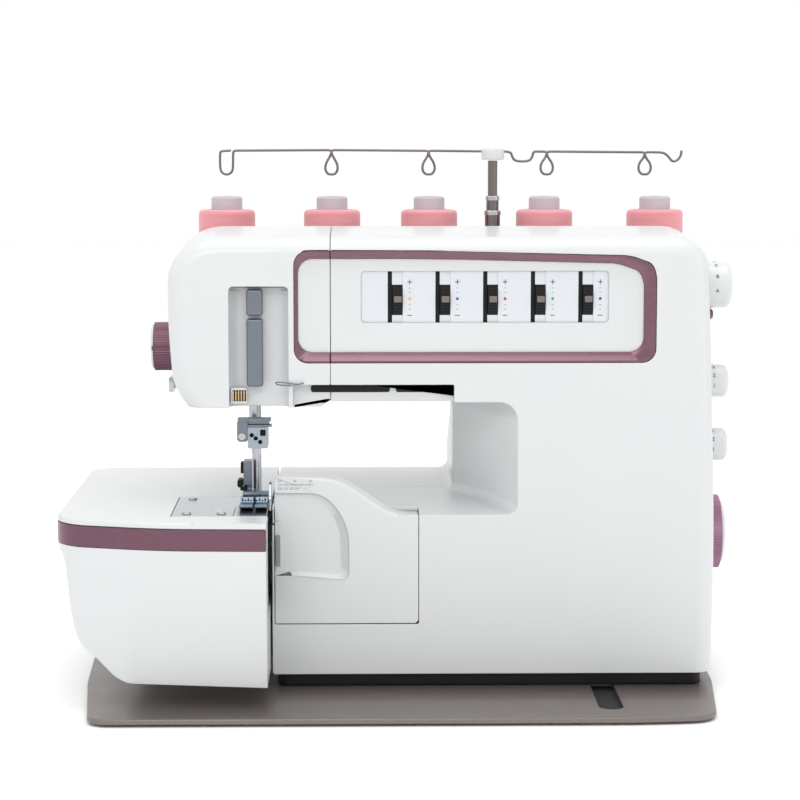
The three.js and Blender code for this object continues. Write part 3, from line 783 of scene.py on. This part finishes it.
combine(cover, turned("pin_bore", [(-90, 0), (-90, 1.2), (20, 1.2), (20, 0)], "X", (-66, 49), 16))
soften(cover, 0.5)
fit(cover, "cover", "white_plastic", white, "looper_cover")


# ---------------------------------------------------------------- mauve trim frame
# A satin mauve frame, its face sloping inwards, is snapped into a groove round the tension
# window. It is cut at the seam, so its left end stays with the head cover.
def trim_finish():
    finish = Finish("trim_metal", (0.24, 0.125, 0.165), 0.26, metallic=0.9, coat_weight=0.3)
    brushed = finish.noise(700, 2, (0.06, 1, 1))
    finish.tint(brushed, (0.165, 0.078, 0.108), (0.21, 0.115, 0.147))
    finish.put("Roughness", brushed * 0.12 + 0.22)
    return finish.material


trim_metal = trim_finish()
ring = traced("trim_ring", trim_outline(0.3), "Y", front_y + 0.1, recess_y - 0.3)
slope = traced("trim_slope", trim_outline(trim_width), "Y", recess_y + 1, front_y + 2.3)
only(slope)
bpy.ops.object.mode_set(mode="EDIT")
pick(slope, "FACE", lambda co, normal: normal.y < -0.9)
bpy.ops.mesh.extrude_region_move(TRANSFORM_OT_translate={"value": (0, -2.4 * MM, 0)})
bpy.ops.transform.resize(value=(1.055, 1, 1.19), center_override=(0.047, front_y * MM, 0.2525))
bpy.ops.object.mode_set(mode="OBJECT")
combine(ring, slope)
left_trim = copied(ring, "trim_left")
combine(left_trim, slab("right_part", seam_x - half_gap, 180, -80, -60, 200, 300))
combine(ring, slab("left_part", -80, seam_x + half_gap, -80, -60, 200, 300))
ring.name = "trim_right"
for piece, node in ((left_trim, "trim_frame_left"), (ring, "trim_frame_right")):
    soften(piece, 0.5, 3)
    fit(piece, "chassis", "mauve_metal", trim_metal, node)


# ---------------------------------------------------------------- tension panel and wheels
# A white panel sits in the window. Five ribbed black wheels stand in its slots, each beside a
# printed scale with a plus, a coloured dot and a minus.
def panel_finish():
    finish = Finish("panel_plastic", (0.63, 0.66, 0.69), 0.35)
    finish.put("Roughness", finish.noise(40) * 0.1 + 0.3)
    finish.bump(finish.noise(1500, 2), 0.06, 0.05)
    return finish.material


def ink_finish(name, color):
    finish = Finish(name, color, 0.5)
    finish.put("Roughness", finish.noise(800) * 0.15 + 0.42)
    return finish.material


panel_white = panel_finish()
dark_ink = ink_finish("dark_ink", (0.07, 0.07, 0.08))
panel_low, panel_high = extent("tension_panel")
panel = filling("window_panel", panel_low, panel_high)
slot_blocks = []
shades = []
marks = []
first_dial_x, dial_pitch, dial_z, dial_y = -3.2, 30.5, 256, -47.6
dial_xs = [first_dial_x + unit * dial_pitch for unit in range(5)]
near, far = panel_low.y - 1, panel_high.y + 1
ink_face, ink_back = panel_low.y - 0.08, panel_low.y + 0.1
mark_shift = 8.9
for x in dial_xs:
    slot_blocks += [
        slab("wheel_slot", x - 5.1, x + 4.4, near, far, 246.2, 265.6),
        slab("finger_groove", x - 2.6, x + 4.4, near, panel_low.y + 0.7, window_low - 2, window_high + 2),
        slab("shade_slot", x - 5.1, x - 2.4, near, far, window_low - 2, window_high + 2)]
    # Behind each shade slot a black sheet is painted shade: it stands for the dark inside of the casing seen
    # through the slot.
    shades.append(slab("shade", x - 6.5, x - 2.45, panel_high.y + 0.1, far, window_low, window_high))
    for half_width, low_z, high_z in (
            (1.5, 11.2, 11.7), (0.25, 9.95, 12.95), (1.5, -10.2, -9.7), (0.6, 7.4, 7.7), (0.6, 4.6, 4.9),
            (0.6, -3.4, -3.1), (0.6, -6.2, -5.9)):
        marks.append(slab("mark", x + mark_shift - half_width, x + mark_shift + half_width,
                          ink_face, ink_back, dial_z + low_z, dial_z + high_z))
combine(panel, *slot_blocks)
soften(panel, 0.3)
fit(panel, "chassis", "white_plastic", panel_white, "tension_panel")
fit(soften(joined("painted_slot_shades", *shades), 0), "chassis", "black_plastic", black)
fit(soften(joined("scale_marks", *marks), 0), "chassis", "black_plastic", dark_ink)


def cogged(name, axis, centre, radius, depth, count, low, high):
    """A wheel with a toothed rim, each tooth with a flat crest."""
    corners = []
    for tooth in range(count):
        for share, reach in ((0, radius - depth), (0.25, radius), (0.5, radius), (0.75, radius - depth)):
            angle = math.tau * (tooth + share) / count
            corners.append((centre[0] + reach * math.cos(angle), centre[1] + reach * math.sin(angle)))
    return traced(name, corners, axis, low, high)


wheel = cogged("wheel", "X", (dial_y, dial_z), 15.9, 0.5, 44, first_dial_x - 2.1, first_dial_x + 4.1)
soften(wheel, 0.2)
# A small taupe pad on each wheel's front is a painted highlight: it stands for the reflection on the glossy
# black rim.
pad = slab("pad", first_dial_x - 1.2, first_dial_x + 3.7, dial_y - 16.6, dial_y - 15,
           dial_z - 1.5, dial_z + 2.6, 0.6, "Y")
soften(pad, 0.3)
dot = turned("dot", [(ink_back, 0), (ink_back, 0.95), (panel_low.y - 0.1, 0.95), (panel_low.y - 0.1, 0)],
             "Y", (first_dial_x + mark_shift, dial_z + 0.7), 20)
soften(dot, 0)
highlight_ink = ink_finish("painted_highlight_pad", (0.16, 0.13, 0.13))
dot_colors = {"yellow": (0.75, 0.42, 0.03), "blue": (0.02, 0.1, 0.4), "red": (0.55, 0.02, 0.03),
              "green": (0.02, 0.35, 0.25), "purple": (0.12, 0.03, 0.14)}
for unit, (hue, color) in enumerate(dot_colors.items()):
    shift = (unit * dial_pitch, 0, 0)
    number = unit + 1
    body = f"tension_{number}"
    twin = copied(wheel, f"tension_wheel_{number}", shift)
    fit(twin, body, "black_plastic", black, f"tension_dial_{number}")
    fit(copied(pad, f"tension_wheel_highlight_{number}", shift), body, "black_plastic", highlight_ink)
    fit(copied(dot, f"{hue}_dot", shift), "chassis", "black_plastic", ink_finish(f"{hue}_ink", color))
for template in (wheel, pad, dot):
    bpy.data.objects.remove(template)


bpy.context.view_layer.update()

# ---------------------------------------------------------------- light windows
# Two long smoked windows and a short one, pressed into the set-back strip under the arm.
windows = []
for low_x, high_x in ((-57.7, -7.0), (-3.1, 24.2), (27.4, 30.6)):
    windows.append(slab("light_window", low_x, high_x, front_y + 7.4, front_y + 8.5, 196.6, 201.2, 1.5, "Y"))
fit(soften(joined("light_windows", *windows), 0.2), "chassis", "black_plastic", black)


# ---------------------------------------------------------------- take-up guards and thread guides
# Two bevelled grey steel guards cover the take-up levers in the head's channel. A comb of five
# brass prongs parts the threads below them, and a bent wire catches the looper threads.
for node in ("take_up_guard_upper", "take_up_guard_lower"):
    guard = filling(node.replace("take_up_guard", "guard"), *extent(node))
    soften(guard, 1.3, 3)
    fit(guard, "chassis", "grey_steel", grey, node)
comb_y = -63
comb_low, comb_high = 191.2, 198.4
comb_pad = slab("comb_pad", -109.2, -98.6, comb_y, recess_back - 0.2, 189.6, 199.6, 1, "Y")
soften(comb_pad, 0.6)
fit(comb_pad, "chassis", "white_plastic", white)
brass = steel_finish("brass", (0.62, 0.42, 0.22), 0.3, 900)
prongs = []
# Thin black strips on the pad between the prongs are painted shade for the gaps between them.
gap_shades = []
for prong in range(5):
    x = -107.8 + prong * 1.75
    prongs.append(traced("prong", [
        (comb_y + 0.1, comb_low), (-64.6, 191.6, 0.5), (-64.9, 197.2, 1), (comb_y + 0.1, comb_high)],
        "X", x, x + 0.85))
    gap_shades.append(slab("comb_gap", x + 0.9, x + 1.7, comb_y - 0.1, comb_y + 0.1, comb_low, comb_high))
fit(soften(joined("comb_prongs", *prongs), 0.1), "chassis", "bright_steel", brass)
fit(soften(joined("painted_comb_gap_shade", *gap_shades), 0), "chassis", "black_plastic", black)


def smoothed(points, rounds=3):
    """Cuts the corners of an open line of points, keeping its two ends."""
    for _ in range(rounds):
        line = [points[0]]
        for start, end in zip(points, points[1:]):
            line += [start.lerp(end, 0.25), start.lerp(end, 0.75)]
        points = line + [points[-1]]
    return points


def bent_wire(name, points, radius, rounds=3):
    """A round wire bent along a line of points, given in millimetres."""
    line = [MM * point for point in smoothed([Vector(point) for point in points], rounds)]
    piece = start_drawing(name, line[0])
    for start, end in zip(line, line[1:]):
        bpy.ops.mesh.extrude_vertices_move(TRANSFORM_OT_translate={"value": end - start})
    bpy.ops.object.mode_set(mode="OBJECT")
    only(piece)
    bpy.ops.object.convert(target="CURVE")
    piece = bpy.context.object
    piece.data.bevel_depth = radius * MM
    piece.data.bevel_resolution = 3
    piece.data.use_fill_caps = True
    bpy.ops.object.convert(target="MESH")
    piece = bpy.context.object
    bpy.ops.object.mode_set(mode="EDIT")
    bpy.ops.mesh.select_all(action="SELECT")
    bpy.ops.mesh.remove_doubles(threshold=0.001 * MM)
    bpy.ops.mesh.normals_make_consistent(inside=False)
    bpy.ops.object.mode_set(mode="OBJECT")
    return piece


catch = bent_wire("catch_wire", [
    (-62.5, front_y + 1, 203.4), (-62.5, front_y - 1.6, 203.4), (-66, front_y - 1.8, 202.6),
    (-78, front_y - 1.2, 204.4), (-80.6, front_y - 0.8, 203.4), (-78, front_y - 1.2, 202.2),
    (-70, front_y - 1.6, 202)], 0.45)
soften(catch, 0)
fit(catch, "chassis", "grey_steel", grey)


# ---------------------------------------------------------------- needles and their clamp
# The needle bar carries a steel clamp with three screw holes, a thread bar and a side plate.
# Two needles stand in it, each a shank, a thin blade and a point.
dress(bright, "needle_bar", "presser_bar")
clamp = slab("clamp_block", -98.2, -85.4, -64, -41, 160.8, 174.6, 0.8, "Y")
hole_radius = 1.3
holes = [turned("screw_hole", [(-70, 0), (-70, hole_radius), (-59, hole_radius), (-59, 0)], "Y", place, 20)
         for place in ((-95.7, 169.3), (-93.1, 167.2), (-90.3, 164.9))]
holes.append(slab("thread_window", -90.2, -86.8, -70, -60, 168.9, 172.8, 0.6, "Y"))
combine(clamp, *holes)
soften(clamp, 0.4)
satin = steel_finish("satin_steel", (0.36, 0.4, 0.46), 0.3, 800)
fit(clamp, "needle_carrier", "bright_steel", satin, "needle_clamp")
# A black plate behind the screw holes and the thread window is painted shade for the dark inside of the
# holes.
painted_hole_shade = slab("painted_hole_shade", -97.4, -86.2, -60.9, -60.2, 163.2, 173.6, 0.5, "Y")
fit(soften(painted_hole_shade, 0), "needle_carrier", "black_plastic", black)
rails = joined(
    "thread_rails", slab("upper_rail", -104.6, -83.4, -64.6, -56, 178.2, 180.1, 0.7),
    slab("middle_rail", -98, -84.5, -63, -50, 176.4, 178.4, 0.7),
    slab("lower_rail", -98.6, -82.8, -64.8, -58, 174.7, 176.1, 0.7),
    slab("rail_web", -98, -86.5, -60, -50, 174.4, 178.6, 0.5))
soften(rails, 0.25)
fit(rails, "needle_carrier", "grey_steel", grey)
side_plate = slab("side_plate", -105.2, -98, -62.4, -59.6, 164.8, 179, 2.2, "Y")
soften(side_plate, 0.4)
fit(side_plate, "needle_carrier", "grey_steel", grey)
fit(screw("side_screw", "Y", (-101.9, 168.2), -62.3, 2.5, -1), "needle_carrier", "bright_steel", bright)
needle_y = -60
for name, x in (("needle_left", -95.3), ("needle_right", -90.7)):
    low, high = extent(name)
    needle = turned(name.replace("needle", "sewing_needle"), [
        (low.z, 0), (low.z + 1.8, 0.3), (low.z + 4, 0.4), (low.z + 27, 0.42), (low.z + 29, 0.78),
        (high.z, 0.78), (high.z, 0)], "Z", (x, needle_y), 20)
    soften(needle, 0)
    fit(needle, "needle_carrier", "bright_steel", bright, name)


# ---------------------------------------------------------------- presser foot and knives
# A spring-loaded ankle holds the steel foot on the presser bar, with a black lever behind it.
# Two ground knife blades stand at the right of the foot.
blued = steel_finish("blued_steel", (0.26, 0.33, 0.4), 0.3, 800)
ankle = slab("ankle", -102.6, -95.6, -37, -23, 129.8, 148.4, 0.8, "Y")
combine(ankle, slab("ankle_slot", -104, -90, -38, -35.6, 130.2, 132.6))
soften(ankle, 0.6)
fit(ankle, "presser", "grey_steel", grey, "foot_holder")
levers = joined(
    "ankle_lever", slab("lever_arm", -104.4, -102.7, -36, -28, 140.4, 147.6, 0.8, "X"),
    slab("lever_grip", -106.6, -102.7, -37, -27, 131.2, 136.4, 1.6, "Y"),
    slab("lever_hook", -104.6, -100, -38.6, -36.5, 129.4, 132, 0.7, "Y"))
fit(soften(levers, 0.3), "presser", "black_plastic", black)
sole_z = 126.4
foot = traced("foot_sole", [
    (-84, 127.4), (-84, 125.6, 1), (-78, 123.3, 3), (-33, 123.3), (-33, 129), (-39, 129), (-40.5, sole_z, 1),
    (-65, sole_z, 1), (-66, 129.9, 0.4), (-68.4, 129.9, 0.4), (-70, sole_z, 1), (-79, sole_z, 3)],
    "X", -103, -85.6, 4)
combine(foot, slab("needle_slot", -97.2, -88.8, -63, -57, 120, 132, 1.5),
        slab("toe_slot", -94.4, -93.2, -90, -62, 120, 132))
soften(foot, 0.3)
fit(foot, "presser", "grey_steel", blued, "presser_foot")
foot_teeth = [slab("foot_clip", -102.8, -86, -67.4, -66.5, 126.5, 128.6, 0.3, "Y")]
for tooth in range(9):
    x = -102 + tooth * 1.8
    foot_teeth.append(slab("foot_tooth", x, x + 1, -69.6, -66.8, 126.5, 129.2 - tooth % 2 * 0.8, 0.2, "Y"))
fit(soften(joined("foot_clips", *foot_teeth), 0.1), "presser", "black_plastic", black)
foot_pins = joined("foot_pins", *[
    screw("foot_pin", "Y", place, -66, 0.9, -1) for place in ((-99, 129), (-90, 129))])
fit(foot_pins, "presser", "bright_steel", bright)
low, high = extent("upper_knife")
blade = traced("upper_blade", [
    (low.y, low.z + 2.5), (low.y + 6, low.z), (high.y, low.z), (high.y, high.z, 1.5), (low.y + 8, high.z, 2),
    (low.y, high.z - 9, 2)], "X", low.x, high.x, 4)
fit(soften(blade, 0.25), "knife", "bright_steel", bright, "upper_knife")
blade = filling("lower_blade", *extent("lower_knife"), 1, "X")
fit(soften(blade, 0.25), "chassis", "bright_steel", bright, "lower_knife")
dress(white, "presser_lifter")


# ---------------------------------------------------------------- knobs and dials
# The foot-pressure knob is mauve and milled, with a white cap. The three dials at the right are
# white mouldings with printed letters or numbers, and a mauve pointer stands under the largest.
knob_low, knob_high = extent("pressure_knob")
knob_y = (knob_low.y + knob_high.y) / 2
knob_z = (knob_low.z + knob_high.z) / 2
knob = cogged("pressure_grip", "X", (knob_y, knob_z), 15.8, 0.35, 60, knob_low.x, knob_high.x)
combine(knob, slab("grip_band", knob_low.x - 1, knob_high.x + 1, knob_low.y - 2, knob_low.y + 2,
                   knob_z - 1.3, knob_z + 1.3), operation="UNION")
combine(knob, slab("grip_trim", knob_low.x - 2, knob_high.x + 2, knob_low.y - 3, knob_low.y,
                   knob_z - 4, knob_z + 4))
soften(knob, 0.3)
fit(knob, "pressure", "mauve_metal", mauve, "pressure_knob")
low, high = extent("pressure_knob_cap")
cap = turned("pressure_cap", [
    (high.x, 0), (high.x, 14.5), (low.x + 0.9, 14.5), (low.x + 0.3, 13.8), (low.x, 12.6), (low.x + 0.2, 0)],
    "X", (knob_y, knob_z), 64)
fit(soften(cap, 0), "pressure", "white_plastic", white, "pressure_knob_cap")


def lettered(name, words, size, face):
    """Flat printed signs: each word with its place and the direction it faces, made into meshes."""
    signs = []
    for word, place in words:
        bpy.ops.object.select_all(action="DESELECT")
        bpy.ops.object.text_add(location=(0, 0, 0))
        sign = bpy.context.object
        sign.data.body = word
        sign.data.size = size * MM
        sign.data.extrude = 0.05 * MM
        sign.data.align_x = "CENTER"
        sign.data.align_y = "CENTER"
        bpy.ops.object.convert(target="MESH")
        sign = bpy.context.object
        sign.data.transform(Matrix.Translation(MM * Vector(place)) @ face(place))
        signs.append(sign)
    return joined(name, *signs)


def facing_front(place):
    return Matrix.Rotation(math.pi / 2, 4, "X")


def round_dial(place):
    """Turns a sign outwards from the axis of a dial at the right."""
    angle = math.atan2(place[2] - dial_middle_z, place[1] - knob_y)
    return Matrix.Rotation(angle + math.pi, 4, "X") @ Matrix.Rotation(math.pi / 2, 4, "X")


for node, body, letters in (("stitch_dial", "stitch_select", "ABCDEFGH"),
                            ("differential_dial", "differential", "123456"),
                            ("stitch_length_dial", "stitch_length", "12345")):
    low, high = extent(node)
    radius = (high.z - low.z) / 2
    dial_middle_z = (high.z + low.z) / 2
    dial = turned(node.replace("dial", "knob"), [
        (low.x, 0), (low.x, radius - 1), (low.x + 0.5, radius), (high.x - 3, radius - 0.3),
        (high.x - 1, radius - 1.2), (high.x, radius - 3), (high.x, 0)], "X", (knob_y, dial_middle_z), 72)
    combine(dial, slab("grip_flat", high.x - 5, high.x + 1, knob_y + radius - 1.6, knob_y + radius + 2,
                       dial_middle_z - 6, dial_middle_z + 6))
    soften(dial, 0.4)
    fit(dial, body, "white_plastic", white, node)
    words = []
    for place, letter in enumerate(letters):
        angle = math.pi + 0.2 - place * math.tau / 10
        words.append((letter, (high.x - 9.6, knob_y + (radius - 0.02) * math.cos(angle),
                               dial_middle_z + (radius - 0.02) * math.sin(angle))))
    signs = lettered(f"{body}_marks", words, 3.6, round_dial)
    fit(soften(signs, 0), body, "black_plastic", dark_ink)
pointer_z = extent("stitch_dial")[0].z - 4
pointer = turned("dial_pointer", [(200, 0), (200, 4.8), (204, 4.4), (206, 2.6), (206.6, 0)],
                 "X", (knob_y, pointer_z), 32)
fit(soften(pointer, 0), "chassis", "mauve_metal", mauve)


# ---------------------------------------------------------------- handwheel
# A mauve wheel with a finely milled edge on the end of the main shaft, closed by a white disc.
rim_low, rim_high = extent("handwheel_rim")
hub_y = (rim_low.y + rim_high.y) / 2
hub_z = (rim_low.z + rim_high.z) / 2
wheel_rim = cogged("handwheel_grip", "X", (hub_y, hub_z), 24.4, 0.4, 110, rim_low.x, rim_high.x)
combine(wheel_rim, turned("shaft_bore", [(190, 0), (190, 4), (220, 4), (220, 0)], "X", (hub_y, hub_z), 24))
soften(wheel_rim, 0.15, 1)
magenta = mauve_finish("handwheel_metal", (0.26, 0.12, 0.2), (0.36, 0.19, 0.29))
fit(wheel_rim, "handwheel", "mauve_metal", magenta, "handwheel_rim")
low, high = extent("handwheel_cap")
wheel_cap = turned("handwheel_disc", [
    (low.x, 0), (low.x, 21), (low.x + 1.2, 21), (high.x - 0.8, 18), (high.x - 0.1, 12), (high.x, 0)],
    "X", (hub_y, hub_z), 72)
fit(soften(wheel_cap, 0), "handwheel", "white_plastic", white, "handwheel_cap")


# ---------------------------------------------------------------- spools
# Five cones of pink thread, cross-wound on grey plastic cores, stand on the pins of the rear stand.
def thread_finish():
    finish = Finish("pink_thread", (0.73, 0.27, 0.3), 0.75, sheen_weight=0.35)
    winding = finish.add("ShaderNodeTexWave", {"bands_direction": "Z"}, {
        "Vector": finish.place(), "Scale": 420, "Distortion": 2.2, "Detail": 2, "Detail Scale": 3}, 1)
    streaks = finish.noise(160, 3, (0.25, 0.25, 3))
    finish.tint(winding * 0.5 + streaks * 0.5, (0.6, 0.17, 0.2), (0.84, 0.4, 0.42))
    finish.put("Roughness", streaks * 0.15 + 0.68)
    finish.bump(winding + streaks, 0.5, 0.25)
    return finish.material


def core_finish():
    finish = Finish("spool_core", (0.5, 0.44, 0.48), 0.45)
    finish.put("Roughness", finish.noise(200) * 0.15 + 0.4)
    finish.bump(finish.noise(900, 2), 0.1, 0.1)
    return finish.material


pink = thread_finish()
core_plastic = core_finish()
dress(white, "spool_stand")
spool_low, spool_high = extent("thread_spool_1")
spool_x = (spool_low.x + spool_high.x) / 2
spool_y = (spool_low.y + spool_high.y) / 2
foot_z = spool_low.z
winding = turned("winding", [
    (foot_z + 3, 10.75), (foot_z + 3, 18.8), (foot_z + 4.2, 19.6), (foot_z + 55.6, 19.5),
    (foot_z + 57.6, 18.8), (foot_z + 58.4, 17), (foot_z + 58.7, 10.75), (foot_z + 3, 10.75)],
    "Z", (spool_x, spool_y), 72)
core_tube = turned("core", [
    (foot_z, 3.4), (foot_z, 14), (foot_z + 2.2, 14), (foot_z + 2.8, 10.7), (foot_z + 66, 10.7),
    (foot_z + 67, 10.1), (foot_z + 67.6, 9), (foot_z + 67.4, 3.6), (foot_z, 3.4)],
    "Z", (spool_x, spool_y), 56)
soften(winding, 0, angle=50)
soften(core_tube, 0)
for number in range(1, 6):
    node = f"thread_spool_{number}"
    low, high = extent(node)
    shift = ((low.x + high.x) / 2 - spool_x, 0, 0)
    fit(copied(winding, f"thread_winding_{number}", shift), f"spool_{number}", "pink_thread", pink, node)
    fit(copied(core_tube, f"spool_core_{number}", shift), f"spool_{number}", "white_plastic", core_plastic)
for template in (winding, core_tube):
    bpy.data.objects.remove(template)


# ---------------------------------------------------------------- telescopic pole and thread guide
# Three brushed steel tubes slide in one another. A white cap on top holds a bent wire with
# a hook at its left end and a drop-shaped eye over each spool.
pole_steel = steel_finish("pole_steel", (0.2, 0.175, 0.165), 0.3, 500)
dress(pole_steel, "pole_lower_tube", "pole_middle_tube", "pole_upper_tube")
pole_x, pole_y = 66, 75
for node, body, radius, inner in (("pole_lower_tube", "chassis", 5.9, 4.6),
                                  ("pole_middle_tube", "pole_middle", 4.9, 3.6)):
    low, high = extent(node)
    collar = turned(node.replace("tube", "collar"), [
        (high.z - 2.2, inner), (high.z - 2.2, radius), (high.z + 0.3, radius), (high.z + 0.8, radius - 0.5),
        (high.z + 0.8, inner), (high.z - 2.2, inner)], "Z", (pole_x, pole_y), 40)
    fit(soften(collar, 0), body, "bright_steel", bright)
cap_low, cap_high = extent("thread_guide_cap")
guide_cap = turned("guide_cap", [
    (cap_low.z, 3.6), (cap_low.z, 7.4), (cap_low.z + 1, 8), (cap_high.z - 1.4, 8), (cap_high.z - 0.4, 7.4),
    (cap_high.z, 6), (cap_high.z, 0)], "Z", (pole_x, pole_y), 48)
fit(soften(guide_cap, 0), "thread_guide", "white_plastic", white, "thread_guide_cap")


def wire_z(x):
    return 350.3 - 0.0069 * (x + 122.6)


def in_plane(points):
    """Points (x, z) or (x, z, offset) of the guide wire, set in the pole's plane."""
    return [(point[0], pole_y + (point[2] if len(point) > 2 else 0), point[1]) for point in points]


hook_z = wire_z(0)
line = [(-115, hook_z), (-121.5, hook_z - 0.3), (-122.6, 348), (-122.6, 338), (-121.8, 334.4),
        (-118.1, 332.6), (-114.4, 334.4), (-113.6, 338), (-113.6, 348), (-112.6, hook_z, -0.4),
        (-108, hook_z)]
for x in (-45.6, 21.6, 103.5, 171.5):
    top = wire_z(x)
    if x == 103.5:
        line += [(70, top), (78.6, top), (79.6, 344.6), (82, 342), (91, 342), (93.4, 344.6), (94.2, top),
                 (97, top)]
    line += [(x - 5, top), (x - 0.4, top), (x + 0.2, top - 2, -0.7), (x + 0.8, top - 4, -0.7),
             (x + 4, 340.5), (x + 4.4, 336), (x + 2.4, 333.2), (x, 333), (x - 2.4, 333.2), (x - 4.4, 336),
             (x - 4, 340.5), (x - 0.8, top - 4, 0.7), (x - 0.2, top - 2, 0.7), (x + 0.4, top), (x + 5, top)]
line += [(184, wire_z(184)), (187.4, 346), (190.6, 341.6), (194, 342.4), (196.6, 345.6), (197, 349.4)]
guide_wire = bent_wire("guide_wire", in_plane(line), 0.85)
fit(soften(guide_wire, 0, angle=60), "thread_guide", "grey_steel", pole_steel, "thread_guide_wire")


# ---------------------------------------------------------------- printed scale and cover lever
# A seam-width scale is printed on the looper cover, and a small smoked lever stands at its left edge.
scale_z = 137.8
scale_x = -78.6
ink = (front_y - 0.06, front_y + 0.1)
scale = [slab("scale_line", scale_x, -56.4, *ink, scale_z - 0.1, scale_z + 0.15)]
for tick in range(23):
    x = scale_x + tick * 0.99
    below, above = (0.6, 0) if tick % 5 else (1.1, 1.1)
    scale.append(slab("scale_tick", x, x + 0.18, *ink, scale_z - below, scale_z + above))
words = [(word, (x, front_y - 0.03, z)) for word, x, z in (
    ("10", -78.2, 140.1), ("20", -68.2, 140.1), ("30", -58.2, 140.1), ("3/8", -77.6, 135.2),
    ("1/2", -74, 135.2), ("5/8", -70.4, 135.2), ("3/4", -66.8, 135.2), ("1", -61, 135.2))]
signs = joined("seam_scale", lettered("scale_words", words, 2.2, facing_front), *scale)
grey_ink = ink_finish("grey_ink", (0.2, 0.22, 0.24))
fit(soften(signs, 0), "cover", "black_plastic", grey_ink)


def smoked_finish():
    finish = Finish("smoked_plastic", (0.2, 0.24, 0.24), 0.2, coat_weight=0.5)
    finish.tint(finish.noise(60), (0.16, 0.19, 0.2), (0.26, 0.31, 0.3))
    finish.put("Roughness", finish.noise(300) * 0.1 + 0.15)
    return finish.material


lever = slab("cover_lever", cover_low.x + 0.5, cover_low.x + 3.6, front_y - 0.9, front_y + 0.5,
             84.6, 105.2, 1.2, "Y")
soften(lever, 0.4)
fit(lever, "cover", "black_plastic", smoked_finish())
latch = slab("cover_latch", cover_low.x + 0.3, cover_low.x + 3, front_y - 0.7, front_y + 0.5,
             114.6, 120.4, 0.6, "Y")
soften(latch, 0.3)
fit(latch, "cover", "white_plastic", white)


# ---------------------------------------------------------------- rear screws
# Six slotted steel screws hold the rear shell to the frame, three along the arm and three
# round the lower housing.
rear_screws = joined("rear_screws", *[
    screw("rear_screw", "Y", place, face - 0.1, 3.2) for face, places in (
        (arm_rear_y, ((-130, 212), (-30, 212), (186, 230))),
        (rear_high.y, ((186, 120), (50, 120), (50, 26)))) for place in places])
fit(rear_screws, "chassis", "bright_steel", bright)
